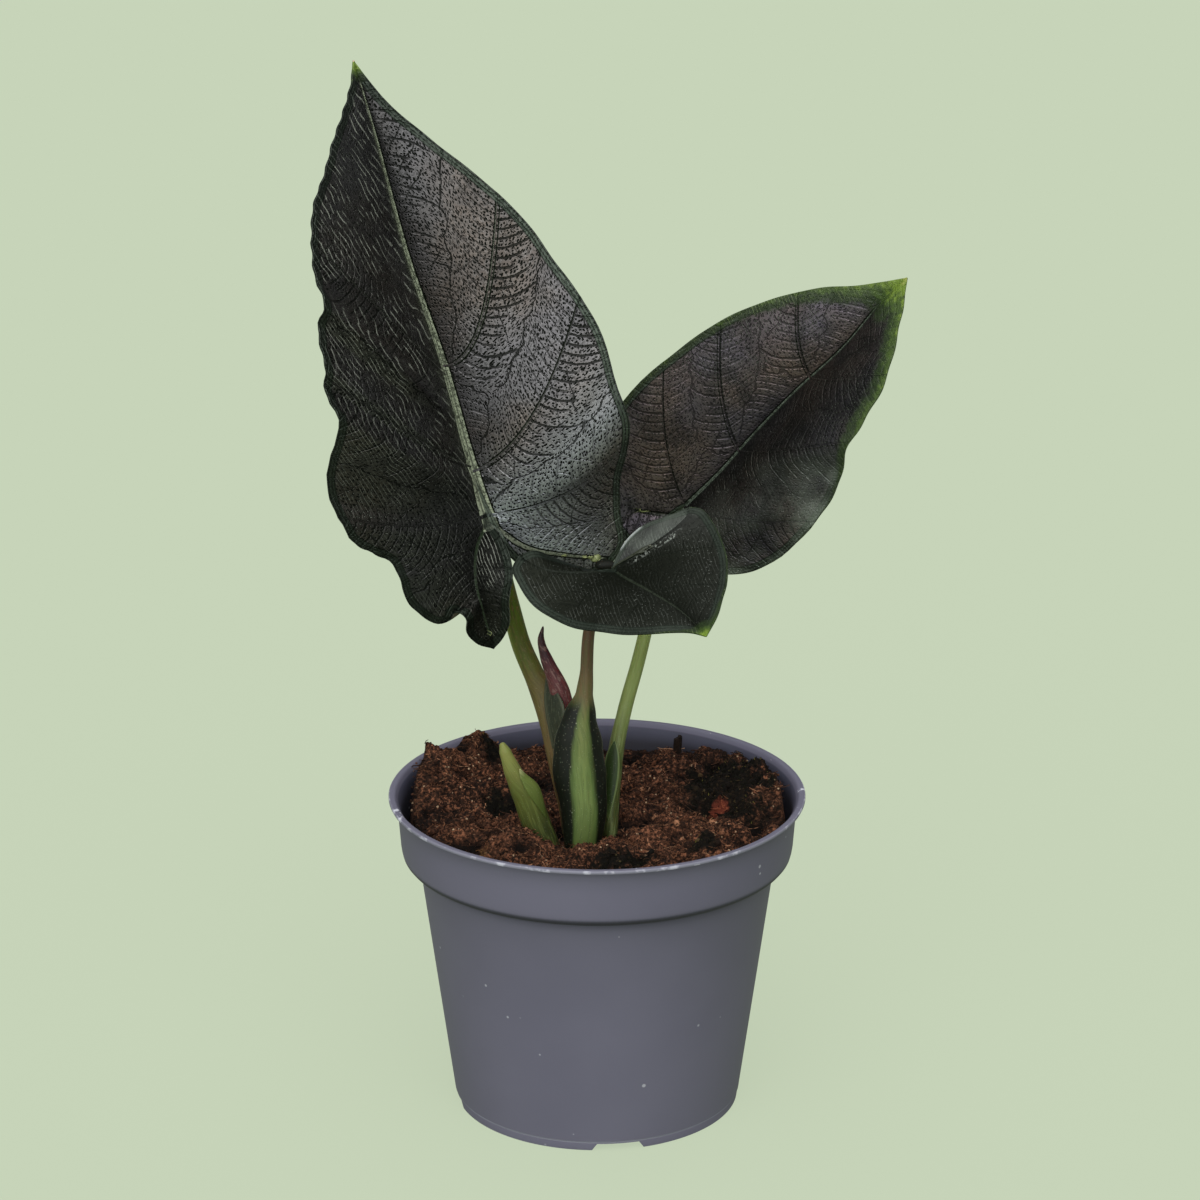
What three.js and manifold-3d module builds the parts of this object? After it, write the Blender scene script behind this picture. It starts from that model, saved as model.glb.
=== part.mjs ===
// A young dark velvet-leaved alocasia in a 12 cm nursery pot.
// Millimetres, +Z up. The origin is the middle of the pot's underside, on the surface it stands on.
// -Y is the side that the small cupped leaf leans out of, and +X is where the right leaf points.

import * as THREE from 'three';
import { mergeVertices } from 'three/addons/utils/BufferGeometryUtils.js';
import Module from 'manifold-3d';

const wasm = await Module();
wasm.setup();

// Driving dimensions

const GAP = 0.3;
const FRONT = new THREE.Vector3(0, -1, 0);

const POT = {
  rimRadius: 60,
  height: 94.2,
  lipThickness: 1.1,
  wall: 1.05,
  collarTopRadius: 57.6,
  collarLowRadius: 56.6,
  collarLowHeight: 79.5,
  collarFoot: [[54, 75.3], [55.7, 76.3], [56.3, 77.6]],
  collarFootInside: [[54.9, 78.1], [53.5, 76.5]],
  bodyTopRadius: 51.5,
  bodyTopHeight: 74.5,
  footRadius: 41.1,
  footHeight: 2.8,
  footRing: 1.8,
  floorUnderside: 2.6,
  floorThickness: 1.3,
  hubRadius: 7,
  segments: 60,
};
const NOTCH = { count: 4, firstDegrees: 8.5, bottomWidth: 16.5, topWidth: 12.2, height: 2.2 };
const DRAIN = { count: 8, radius: 3.2, circle: 28, sides: 14 };
const SOIL = {
  level: 89,
  rings: 12,
  segments: 60,
  edgeFrom: 0.86,
  edgeFall: 1.2,
  edgeGap: 1.2,
  raggedness: 0.5,
  wallGap: 0.35,
};
const HOLE_DEPTH = 1;
const BLADE_THICKNESS = 0.8;

// Colours

function material(color, roughness) {
  return new THREE.MeshStandardMaterial({ color, roughness, metalness: 0 });
}
const POT_PLASTIC = material(0x62656f, 0.5);
const COIR = material(0x4a2c1e, 0.95);
const DARK_BLADE = material(0x1d2420, 0.45);
const GREEN_STALK = material(0x5c7a33, 0.45);
const SHEATH_GREEN = material(0x4a6b38, 0.45);
const MAROON = material(0x5a2a33, 0.5);
const CORM_BROWN = material(0x6b4a35, 0.9);

// Helpers

const point = ([x, y, z]) => new THREE.Vector3(x, y, z);
const smoothCurve = (points) => new THREE.CatmullRomCurve3(points.map(point), false, 'centripetal');
const radians = THREE.MathUtils.degToRad;

// Values between stations of [share, value, value, ...]; ease 0 is straight, 1 is fully smoothed
function interpolate(stations, at, ease) {
  const next = stations.findIndex(([u]) => u >= at);
  if (next <= 0) return stations[next === 0 ? 0 : stations.length - 1].slice(1);
  const [low, high] = [stations[next - 1], stations[next]];
  const straight = (at - low[0]) / (high[0] - low[0]);
  const share = THREE.MathUtils.lerp(straight, THREE.MathUtils.smoothstep(straight, 0, 1), ease);
  return low.slice(1).map((value, i) => value + (high[i + 1] - value) * share);
}

function closedGeometry(positions, triangles) {
  const loose = new THREE.BufferGeometry();
  loose.setAttribute('position', new THREE.Float32BufferAttribute(positions.flatMap((p) => p.toArray()), 3));
  loose.setIndex(triangles);
  const merged = mergeVertices(loose, 1e-3);
  const corners = merged.getIndex().array;
  const kept = [];
  for (let i = 0; i < corners.length; i += 3) {
    const [a, b, c] = corners.slice(i, i + 3);
    if (a !== b && b !== c && c !== a) kept.push(a, b, c);
  }
  merged.setIndex(kept);
  return merged;
}

function solid(geometry) {
  const bare = geometry.clone();
  bare.deleteAttribute('normal');
  bare.deleteAttribute('uv');
  const merged = mergeVertices(bare, 1e-4);
  const vertProperties = new Float32Array(merged.getAttribute('position').array);
  const triVerts = new Uint32Array(merged.getIndex().array);
  return new wasm.Manifold(new wasm.Mesh({ numProp: 3, vertProperties, triVerts }));
}

function geometryOf(body) {
  const mesh = body.getMesh();
  const geometry = new THREE.BufferGeometry();
  geometry.setAttribute('position', new THREE.BufferAttribute(mesh.vertProperties.slice(), 3));
  geometry.setIndex([...mesh.triVerts]);
  return geometry;
}

function named(name, geometry, finish) {
  geometry.computeVertexNormals();
  const mesh = new THREE.Mesh(geometry, finish);
  mesh.name = name;
  return mesh;
}

// Turns a profile of [radius, height] points about the pot's upright axis
function turned(profile, segments) {
  const outline = profile.map(([radius, height]) => new THREE.Vector2(radius, height));
  return outward(new THREE.LatheGeometry(outline, segments).rotateX(Math.PI / 2));
}

// Pot: lip, collar, tapered wall, raised floor with drain holes, notched foot ring

function potProfile() {
  const p = POT;
  const lipUnderside = p.height - p.lipThickness;
  const floorTop = p.floorUnderside + p.floorThickness;
  const ringInside = p.footRadius - p.footRing;
  const outside = [
    [p.footRadius, 0],
    [p.footRadius + 0.5, p.footHeight],
    [p.bodyTopRadius, p.bodyTopHeight],
    ...p.collarFoot,
    [p.collarLowRadius, p.collarLowHeight],
    [p.collarTopRadius, lipUnderside],
    [p.rimRadius - 0.3, lipUnderside],
    [p.rimRadius, lipUnderside + 0.4],
    [p.rimRadius - 0.3, p.height],
  ];
  const inside = [
    [p.collarTopRadius - 0.3, p.height],
    [p.collarTopRadius - p.wall, p.height - 0.6],
    [p.collarLowRadius - p.wall, p.collarLowHeight + 0.3],
    ...p.collarFootInside,
    [p.bodyTopRadius - p.wall, p.bodyTopHeight + 1.1],
    [p.footRadius - 0.6, floorTop],
    [0, floorTop],
  ];
  const underside = [
    [0, 0],
    [p.hubRadius, 0],
    [p.hubRadius, p.floorUnderside],
    [ringInside, p.floorUnderside],
    [ringInside, 0],
  ];
  return [...underside, ...outside, ...inside];
}

function notchCutter(degrees) {
  const [wide, narrow] = [NOTCH.bottomWidth / 2, NOTCH.topWidth / 2];
  const outline = new THREE.Shape();
  outline.moveTo(-wide, -1);
  outline.lineTo(wide, -1);
  outline.lineTo(wide, 0);
  outline.lineTo(narrow, NOTCH.height);
  outline.lineTo(-narrow, NOTCH.height);
  outline.lineTo(-wide, 0);
  const through = POT.footRing + 4;
  const block = new THREE.ExtrudeGeometry(outline, { depth: through, bevelEnabled: false });
  block.rotateX(Math.PI / 2).translate(0, -(POT.footRadius - POT.footRing - 2), 0);
  return solid(block.rotateZ(radians(degrees)));
}

function drainCutter(degrees) {
  const hole = new THREE.CylinderGeometry(DRAIN.radius, DRAIN.radius, 8, DRAIN.sides);
  hole.rotateX(Math.PI / 2).translate(0, -DRAIN.circle, POT.floorUnderside);
  return solid(hole.rotateZ(radians(degrees)));
}

function makePot() {
  let body = solid(turned(potProfile(), POT.segments));
  for (let i = 0; i < NOTCH.count; i += 1) {
    body = body.subtract(notchCutter(NOTCH.firstDegrees + (360 / NOTCH.count) * i));
  }
  for (let i = 0; i < DRAIN.count; i += 1) {
    body = body.subtract(drainCutter((360 / DRAIN.count) * (i + 0.5)));
  }
  return named('pot', geometryOf(body), POT_PLASTIC);
}

// Stalks: a closed tube along a curve. Each station is
// [share of the length, half width left, half width right, half depth front, half depth back].
// An edge power above 1 thins the sides of the section into wings.

function stalkGeometry(path, stations, { rings = 20, sides = 12, edge = 1, grow = 0 } = {}) {
  const curve = smoothCurve(path);
  const positions = [];
  const triangles = [];
  for (let i = 0; i <= rings; i += 1) {
    const u = i / rings;
    const centre = curve.getPointAt(u);
    const along = curve.getTangentAt(u);
    const side = new THREE.Vector3().crossVectors(FRONT, along).normalize().negate();
    const front = new THREE.Vector3().crossVectors(side, along).normalize().negate();
    if (front.dot(FRONT) < 0) front.negate();
    if (side.x < 0) side.negate();
    const [left, right, near, far] = interpolate(stations, u, 0.5).map((value) => value + grow);
    for (let j = 0; j < sides; j += 1) {
      const angle = (2 * Math.PI * j) / sides;
      const [c, s] = [Math.cos(angle), Math.sin(angle)];
      const x = c * (c < 0 ? left : right);
      const y = Math.sign(s) * Math.abs(s) ** edge * (s < 0 ? far : near);
      positions.push(centre.clone().addScaledVector(side, x).addScaledVector(front, y));
    }
  }
  for (let i = 0; i < rings; i += 1) {
    for (let j = 0; j < sides; j += 1) {
      const k = (j + 1) % sides;
      const [a, b, c, d] = [i * sides + j, i * sides + k, (i + 1) * sides + k, (i + 1) * sides + j];
      triangles.push(a, c, b, a, d, c);
    }
  }
  const last = rings * sides;
  for (let j = 1; j < sides - 1; j += 1) {
    triangles.push(0, j, j + 1, last, last + j + 1, last + j);
  }
  return outward(closedGeometry(positions, triangles));
}

// Turns every face round if the closed mesh is inside out
function outward(geometry) {
  const place = geometry.getAttribute('position');
  const index = geometry.getIndex().array;
  const [a, b, c] = [new THREE.Vector3(), new THREE.Vector3(), new THREE.Vector3()];
  let volume = 0;
  for (let i = 0; i < index.length; i += 3) {
    a.fromBufferAttribute(place, index[i]);
    b.fromBufferAttribute(place, index[i + 1]);
    c.fromBufferAttribute(place, index[i + 2]);
    volume += a.dot(b.cross(c));
  }
  if (volume < 0) {
    const turnedRound = [];
    for (let i = 0; i < index.length; i += 3) turnedRound.push(index[i], index[i + 2], index[i + 1]);
    geometry.setIndex(turnedRound);
  }
  return geometry;
}

const STALKS = {
  petiole_large: {
    path: [
      [-6.5, -11, 78.3], [-6.5, -11, 82], [-7.5, -11, 91.5], [-10.5, -9, 105], [-13.5, -6, 118], [-17, -3, 128.5],
      [-21.5, -1, 139.5], [-24.5, -0.5, 151], [-27, -1, 162], [-30.3, -3.7, 176.15],
    ],
    stations: [
      [0, 3.2, 3.2, 2.9, 2.9], [0.3, 3.1, 3.4, 2.8, 2.8], [0.42, 3, 4.9, 2.6, 2.6], [0.48, 3, 5.6, 2.5, 2.5],
      [0.54, 2.9, 3, 2.5, 2.5], [0.65, 2.8, 2.7, 2.5, 2.5],
      [0.85, 2.5, 2.5, 2.3, 2.3], [0.97, 2.2, 2.2, 2, 1.8], [1, 1.6, 1.6, 1.5, 1.4],
    ],
    finish: GREEN_STALK,
    options: { rings: 22, sides: 12 },
  },
  petiole_right: {
    path: [
      [3.5, -15.5, 78.3], [3.5, -15.5, 81], [4, -14.5, 88], [4.6, -12, 98], [6, -7, 112], [8, -3, 121],
      [11.5, 3, 132], [13.5, 7, 139], [16.5, 14, 151], [19.7, 21, 161.5], [22.2, 25.7, 167.95],
    ],
    stations: [
      [0, 2.3, 2, 2.6, 2.4], [0.15, 2.4, 1.9, 3, 2.4], [0.3, 2.6, 2, 2.8, 2.3], [0.42, 2, 2.1, 2.1, 2.1],
      [0.7, 1.9, 1.9, 1.9, 1.9], [0.96, 1.7, 1.7, 1.7, 1.7], [1, 1.2, 1.2, 1.2, 1.2],
    ],
    finish: GREEN_STALK,
    options: { rings: 24, sides: 10 },
  },
  petiole_front: {
    path: [
      [-4.5, -22.5, 78.3], [-4.5, -22.5, 81], [-4.3, -23, 86], [-4, -22, 97.5], [-5, -21, 109], [-4.6, -20, 120.5],
      [-3.2, -19, 132], [-2.3, -18, 149], [-0.5, -16.5, 157], [3.15, -16.4, 166.3],
    ],
    stations: [
      [0, 3.4, 3.4, 3, 3], [0.09, 5, 5.2, 4.2, 3.8], [0.22, 6.4, 6.9, 4.6, 4], [0.34, 7.6, 7.6, 4.4, 3.8],
      [0.44, 7.2, 6.4, 4, 3.4], [0.53, 5.2, 3.8, 3.2, 2.8], [0.6, 2.7, 2.1, 2.3, 2.1],
      [0.68, 1.8, 1.8, 1.8, 1.8], [0.95, 1.5, 1.5, 1.5, 1.5], [1, 1.1, 1.1, 1.1, 1.1],
    ],
    finish: SHEATH_GREEN,
    options: { rings: 30, sides: 16, edge: 1.35 },
  },
  new_leaf: {
    path: [
      [-5.2, -15.8, 78.3], [-5.2, -15.8, 82], [-5.4, -15.7, 92], [-6, -15, 106], [-7, -13.8, 116], [-9, -12.2, 124.5],
      [-11.5, -11, 132], [-14.3, -10, 138.5], [-15.8, -9.4, 144], [-15.2, -9, 148],
    ],
    stations: [
      [0, 1.2, 1.2, 1.2, 1.2], [0.4, 1.3, 1.3, 1.3, 1.3], [0.6, 2.4, 2.4, 1.9, 1.9],
      [0.72, 2.9, 2.8, 2.1, 2.1], [0.84, 1.9, 1.9, 1.5, 1.5], [0.93, 1.1, 1.1, 0.9, 0.9],
      [1, 0.3, 0.3, 0.3, 0.3],
    ],
    finish: MAROON,
    options: { rings: 24, sides: 10 },
  },
  cut_stalk: {
    path: [
      [-12, -21.5, 78.3], [-12, -21.5, 81], [-15.3, -22.5, 88.6], [-18, -23, 96], [-20.2, -23.5, 102.4],
      [-23.3, -24, 108.7], [-25.7, -24, 115.5], [-26.8, -24, 118.5],
    ],
    stations: [
      [0, 2.6, 2.4, 2.6, 2.6], [0.25, 4.2, 4, 3.4, 3.2], [0.45, 4.1, 4.1, 3.1, 2.9],
      [0.62, 3.7, 4.3, 2.8, 2.6], [0.76, 2.6, 2.7, 2.3, 2.2], [0.93, 1.8, 1.6, 1.6, 1.6],
      [1, 0.8, 0.7, 0.7, 0.7],
    ],
    finish: GREEN_STALK,
    options: { rings: 16, sides: 12 },
  },
};

function makeStalks() {
  return Object.entries(STALKS).map(([name, { path, stations, finish, options }]) =>
    named(name, stalkGeometry(path, stations, options), finish));
}

// Corm: the short stem below ground that the stalks rise from

const CORM = { x: -4, y: -17, top: 78, height: 17, radius: 12 };

function cormGeometry(grow) {
  const { radius, height } = CORM;
  const profile = [
    [0, -height - grow], [radius * 0.45 + grow, -height - grow], [radius * 0.85 + grow, -height * 0.75],
    [radius + grow, -height * 0.4], [radius * 0.95 + grow, grow], [0, grow],
  ];
  return turned(profile, 20).translate(CORM.x, CORM.y, CORM.top);
}

// Soil: fills the pot. Its top is a level with hand-placed lumps and hollows,
// each [x, y, radius, height], and a fine roughness from a sum of waves.

const LUMPS = [
  [-50, 15, 13, 10], [-48, 26, 6, 4], [-37, 37, 7, 10], [-34, 39, 3.5, 2.5], [-52, -4, 9, 3], [-27, 18, 9, 2],
  [-24.5, -27, 7, 3.5], [-38, -24, 9, 1.5], [-26, -8, 5, -2.5], [-10, 8, 9, 1.5], [19.5, -19, 7, 3.5],
  [11, -13, 4, -2.5], [24, 30, 7, 2], [50, 20, 11, 8], [54, 2, 8, 4], [38, -4, 7, -2], [38, -30, 8, 2],
  [6, -38, 6, 1.5], [37, 42, 8, 5], [-5, -21, 9, -2.8], [5, 48, 16, -1],
];

function soilHeight(x, y) {
  let height = SOIL.level;
  for (const [cx, cy, radius, rise] of LUMPS) {
    const away = ((x - cx) ** 2 + (y - cy) ** 2) / radius ** 2;
    height += rise * Math.exp(-away);
  }
  const coarse = Math.sin(x * 0.42 + 1.3) * Math.sin(y * 0.47 + 0.4);
  const fine = Math.sin(x * 0.93 + y * 0.71) * Math.sin(y * 1.07 - x * 0.53 + 2);
  return height + 0.5 * coarse + 0.45 * fine;
}

function soilGeometry() {
  const { rings, segments } = SOIL;
  const positions = [new THREE.Vector3(0, 0, soilHeight(0, 0))];
  const triangles = [];
  const ringAt = (radiusOf, heightOf) => {
    for (let j = 0; j < segments; j += 1) {
      const angle = (2 * Math.PI * j) / segments;
      const radius = radiusOf(angle);
      const [x, y] = [radius * Math.cos(angle), radius * Math.sin(angle)];
      positions.push(new THREE.Vector3(x, y, heightOf(x, y)));
    }
  };
  const wallInside = POT.collarLowRadius - POT.wall;
  const topRadius = wallInside - SOIL.edgeGap;
  for (let i = 1; i <= rings; i += 1) {
    const share = (i / rings) ** 0.9;
    const fall = SOIL.edgeFall * Math.max(0, (share - SOIL.edgeFrom) / (1 - SOIL.edgeFrom)) ** 2;
    const uneven = i === rings ? SOIL.raggedness : 0;
    const ragged = (angle) => topRadius * share - uneven * (1 + Math.sin(angle * 9 + 2));
    ringAt(ragged, (x, y) => soilHeight(x, y) - fall);
  }
  const ledge = wallInside - SOIL.wallGap;
  const floorTop = POT.floorUnderside + POT.floorThickness + GAP;
  const sides = [
    [ledge, POT.collarLowHeight + 0.4], [ledge - 0.7, 78.4], [52.6, 76.7],
    [POT.bodyTopRadius - POT.wall - SOIL.wallGap, 76], [POT.footRadius - 1.1, floorTop],
  ];
  for (const [radius, height] of sides) ringAt(() => radius, () => height);
  const ringCount = rings + sides.length;
  for (let j = 0; j < segments; j += 1) {
    const k = (j + 1) % segments;
    triangles.push(0, 1 + j, 1 + k);
    for (let i = 0; i < ringCount - 1; i += 1) {
      const [inner, outer] = [1 + i * segments, 1 + (i + 1) * segments];
      triangles.push(inner + j, outer + j, outer + k, inner + j, outer + k, inner + k);
    }
  }
  const bottom = positions.length;
  positions.push(new THREE.Vector3(0, 0, floorTop));
  const rim = 1 + (ringCount - 1) * segments;
  for (let j = 0; j < segments; j += 1) triangles.push(bottom, rim + ((j + 1) % segments), rim + j);
  return outward(closedGeometry(positions, triangles));
}

function makeSoil() {
  let body = solid(soilGeometry()).subtract(solid(cormGeometry(GAP)));
  for (const { path, stations, options } of Object.values(STALKS)) {
    const [x, y, foot] = path[0];
    const deeper = [[x, y, foot - HOLE_DEPTH], ...path];
    body = body.subtract(solid(stalkGeometry(deeper, stations, { ...options, grow: GAP + 0.05 })));
  }
  return named('soil', geometryOf(body), COIR);
}

// Leaf blades. Each half is a sheet of spokes from an axis to the edge of the leaf: the axis runs
// from the tip down the midrib, out along the rib of the back lobe and back to the stalk point.
// reach ties a share of the midrib to the share of the outer edge that the side vein there meets,
// sweep bows the spokes as the side veins are bowed, and cup raises the sheet between midrib and edge.

const BLADES = {
  blade_large: {
    midrib: [
      [-67.5, 20, 304], [-61.5, 17, 282], [-53, 11, 249.5], [-43.5, 4, 221.5], [-36, -2, 195], [-30.5, -6, 178],
    ],
    ribRise: 1.7,
    halves: [
      {
        outer: [
          [-67.5, 20, 304], [-68, 14, 298.5], [-70, 6, 292], [-72.5, -1, 285.5], [-74.5, -7, 278.5],
          [-77, -15, 272], [-77.5, -19, 267], [-76.5, -27, 255.5], [-73.5, -33, 248.5], [-75.5, -31, 243],
          [-75, -33, 237.5], [-73.5, -36, 232], [-74, -35, 227], [-73, -37, 223.5], [-70, -39, 218.5],
          [-71, -36, 211.5], [-73.5, -32.5, 203], [-74, -32, 197.5], [-73, -32, 192], [-70, -32.5, 186],
          [-67.5, -31, 180.5], [-62.5, -28.5, 176.5], [-57, -26, 172.5], [-54.5, -25.5, 167],
          [-53, -24.5, 161], [-49.5, -23, 156.5], [-45, -21, 153], [-41.5, -20, 153.5], [-40, -20.5, 156],
          [-38.5, -21.5, 156.5], [-36.5, -21, 154], [-36.5, -18, 149], [-33.5, -15.5, 145], [-29, -14, 143],
        ],
        rib: [[-30.5, -6, 178], [-33.5, -11, 172.5], [-34, -15, 164.5], [-32, -17, 155.5], [-30, -16, 148]],
        inner: [
          [-29, -14, 143], [-26.5, -17, 147], [-24.5, -20, 152.5], [-24.5, -21, 160], [-23.5, -20, 167],
          [-24.5, -16, 172], [-27, -11, 175.5], [-30.5, -6, 178],
        ],
        reach: [[0, 0], [0.68, 0.27], [0.88, 0.455], [0.985, 0.66], [1, 0.69]],
        veins: [0.68, 0.88, 0.985],
        sweep: [[0, 0.17], [1, 0.14]],
        cup: 0.05,
        wave: { count: 36, height: 0.25 },
      },
      {
        outer: [
          [-67.5, 20, 304], [-58.5, 18, 293], [-46, 14, 283], [-31.5, 9, 272.5], [-20, 4, 262.5],
          [-12, -1, 252.5], [-4, -6, 242.5], [2, -10, 232], [5, -12, 221], [9, -13, 209.5],
          [8.5, -11, 201.5], [6.5, -8, 191.5], [6.5, -5, 181], [7.5, -3, 170.5], [4, -3, 164.5],
        ],
        rib: [[-30.5, -6, 178], [-20, -7.5, 171], [-9, -7, 168.5], [0, -5, 167]],
        inner: [
          [4, -3, 164.5], [-2, -3.5, 161.5], [-10.5, -4.5, 161], [-18, -5.8, 162.5], [-24, -7.2, 167.5],
          [-28, -7.4, 173], [-30.5, -6, 178],
        ],
        reach: [[0, 0], [0.66, 0.31], [0.89, 0.52], [0.985, 0.79], [1, 0.82]],
        veins: [0.66, 0.89, 0.985],
        sweep: [[0, 0.45], [0.66, 0.48], [0.89, 0.3], [1, 0.15]],
        cup: 0.04,
        wave: { count: 12, height: 0.2 },
      },
    ],
    steps: { midrib: 42, lobe: 13, across: 5 },
  },
  blade_right: {
    midrib: [
      [86.5, 8, 245], [81.5, 10, 239.5], [69.5, 14, 223], [56.5, 18, 209], [45.5, 21, 196],
      [35, 23, 183], [22.5, 24, 170],
    ],
    ribRise: 1.3,
    halves: [
      {
        outer: [
          [86.5, 8, 245], [74, 13, 241.5], [62, 17, 239.5], [46.5, 20, 234.5], [33.5, 21, 228],
          [20, 22, 217.5], [10.5, 21, 209], [3.5, 20, 198.5], [1, 19, 185.5], [3, 18, 172], [8, 18.5, 164],
        ],
        rib: [[22.5, 24, 170], [16.5, 23.5, 171], [9, 21.5, 173]],
        inner: [[8, 18.5, 164], [13, 19.5, 162.5], [18, 21.5, 165], [22.5, 24, 170]],
        reach: [[0, 0], [0.73, 0.41], [0.96, 0.56], [1, 0.74]],
        veins: [0.42, 0.73, 0.96],
        sweep: [[0, 0.2], [1, 0.15]],
        cup: 0.05,
        wave: { count: 10, height: 0.25 },
      },
      {
        outer: [
          [86.5, 8, 245], [85, 2, 238], [82.5, -5, 228.5], [79.5, -9, 219], [74, -10, 208.5],
          [69.5, -8, 199.5], [68.5, -5, 191], [65, -3, 182], [57, 2, 169.5], [50, 6, 162],
          [43.5, 9, 158], [36.5, 13, 156], [29.5, 17, 157],
        ],
        rib: [[22.5, 24, 170], [26.5, 22, 165], [30, 19, 160.5]],
        inner: [[29.5, 17, 157], [25.5, 20, 159], [23.5, 22.5, 164], [22.5, 24, 170]],
        reach: [[0, 0], [0.73, 0.41], [0.96, 0.64], [1, 0.8]],
        veins: [0.42, 0.73, 0.96],
        sweep: [[0, 0.2], [1, 0.15]],
        cup: 0.08,
        wave: { count: 10, height: 0.25 },
      },
    ],
    steps: { midrib: 30, lobe: 6, across: 4 },
  },
  blade_front: {
    midrib: [[30, -46, 158], [23.5, -39, 162.5], [14.5, -30, 165.5], [8, -22, 166.5], [4, -17, 167.5]],
    ribRise: 0.9,
    halves: [
      {
        outer: [
          [30, -46, 158], [26, -46, 159], [20, -45.5, 159], [12, -44, 157.8], [2.5, -40, 157],
          [-7, -36, 157.3], [-13.5, -32, 159], [-18.5, -29, 162], [-22, -26, 166.5], [-23.5, -23.5, 170],
          [-21.5, -21, 173],
        ],
        rib: [[4, -17, 167.5], [-4.5, -21, 168], [-13.5, -23.5, 169.5], [-19.5, -22.5, 171.5]],
        inner: [
          [-21.5, -21, 173], [-17.5, -20, 174], [-12.5, -18.5, 171.5], [-7, -17.5, 169], [-1.5, -17, 167.3],
          [4, -17, 167.5],
        ],
        reach: [[0, 0], [0.55, 0.35], [0.95, 0.58], [1, 0.64]],
        veins: [0.55, 0.95],
        sweep: [[0, 0.1], [1, 0.1]],
        cup: 0.08,
        wave: { count: 5, height: 0.15 },
      },
      {
        outer: [
          [30, -46, 158], [32.5, -45, 162.5], [34.5, -41, 167], [36, -35, 172], [35.5, -29, 177],
          [33, -24, 182], [29.5, -19, 185.5], [26, -16, 185.5],
        ],
        rib: [[4, -17, 167.5], [12, -20, 173.5], [19.5, -20, 178.5], [25.5, -18, 182.5]],
        inner: [
          [26, -16, 185.5], [22, -14, 183], [17, -12, 180.5], [12.5, -11, 178], [8.5, -12, 174.5],
          [6, -14, 171], [4, -17, 167.5],
        ],
        reach: [[0, 0], [0.55, 0.35], [0.95, 0.62], [1, 0.68]],
        veins: [0.55, 0.95],
        sweep: [[0, 0.1], [1, 0.1]],
        cup: 0.05,
        wave: { count: 5, height: 0.15 },
      },
    ],
    steps: { midrib: 24, lobe: 8, across: 4 },
  },
};

// One row of spokes for each step: where it leaves the axis, where it meets the edge,
// and how far along the outer edge that is
function spokesOf(midrib, half, steps) {
  const axis = smoothCurve(midrib);
  const outer = smoothCurve(half.outer);
  const rib = smoothCurve(half.rib);
  const inner = smoothCurve(half.inner);
  const lobeStart = half.reach.at(-1)[1];
  const rows = [];
  for (let i = 0; i <= steps.midrib; i += 1) {
    const u = i / steps.midrib;
    const [reach] = interpolate(half.reach, u, 0);
    const [swept] = interpolate(half.sweep, u, 0);
    const isVein = half.veins.some((vein) => Math.abs(vein - u) < 0.5 / steps.midrib);
    const thin = 0.35 + 0.65 * u;
    rows.push({ from: axis.getPointAt(u), to: outer.getPointAt(reach), reach, isVein, thin, swept });
  }
  for (let i = 1; i <= steps.lobe; i += 1) {
    const u = i / steps.lobe;
    const reach = lobeStart + (1 - lobeStart) * u;
    const thin = 0.8 - 0.5 * u;
    const swept = half.sweep.at(-1)[1] * (1 - u);
    rows.push({ from: rib.getPointAt(u), to: outer.getPointAt(reach), reach, thin, swept });
  }
  for (let i = 1; i <= steps.lobe; i += 1) {
    const u = i / steps.lobe;
    const thin = 0.3 + 0.5 * u;
    rows.push({ from: rib.getPointAt(1 - u), to: inner.getPointAt(u), reach: 1, thin, swept: 0 });
  }
  return { rows, rootward: axis.getPointAt(1).sub(axis.getPointAt(0)).normalize() };
}

// Middle surface of one half: a grid of points, with the faces' sense in sign
function sheetOf(midrib, half, steps) {
  const { rows, rootward } = spokesOf(midrib, half, steps);
  const grid = rows.map(({ from, to, reach, isVein, thin, swept }) => {
    const span = to.clone().sub(from);
    const width = span.length();
    const lift = new THREE.Vector3().crossVectors(span, rootward);
    if (lift.dot(FRONT) < 0) lift.negate();
    if (lift.length() > 1e-6) lift.normalize();
    const ripple = Math.sin(2 * Math.PI * half.wave.count * reach) * half.wave.height;
    const line = [];
    for (let k = 0; k <= steps.across; k += 1) {
      const s = k / steps.across;
      const place = from.clone().addScaledVector(span, s);
      place.addScaledVector(rootward, swept * width * 2 * s * (1 - s));
      place.addScaledVector(lift, half.cup * width * 4 * s * (1 - s) + ripple * s ** 3 * Math.min(1, width / 12));
      line.push({ place, rise: k === 0 ? thin : isVein ? 0.3 * (1 - s) : 0 });
    }
    return line;
  });
  return grid;
}

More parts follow.
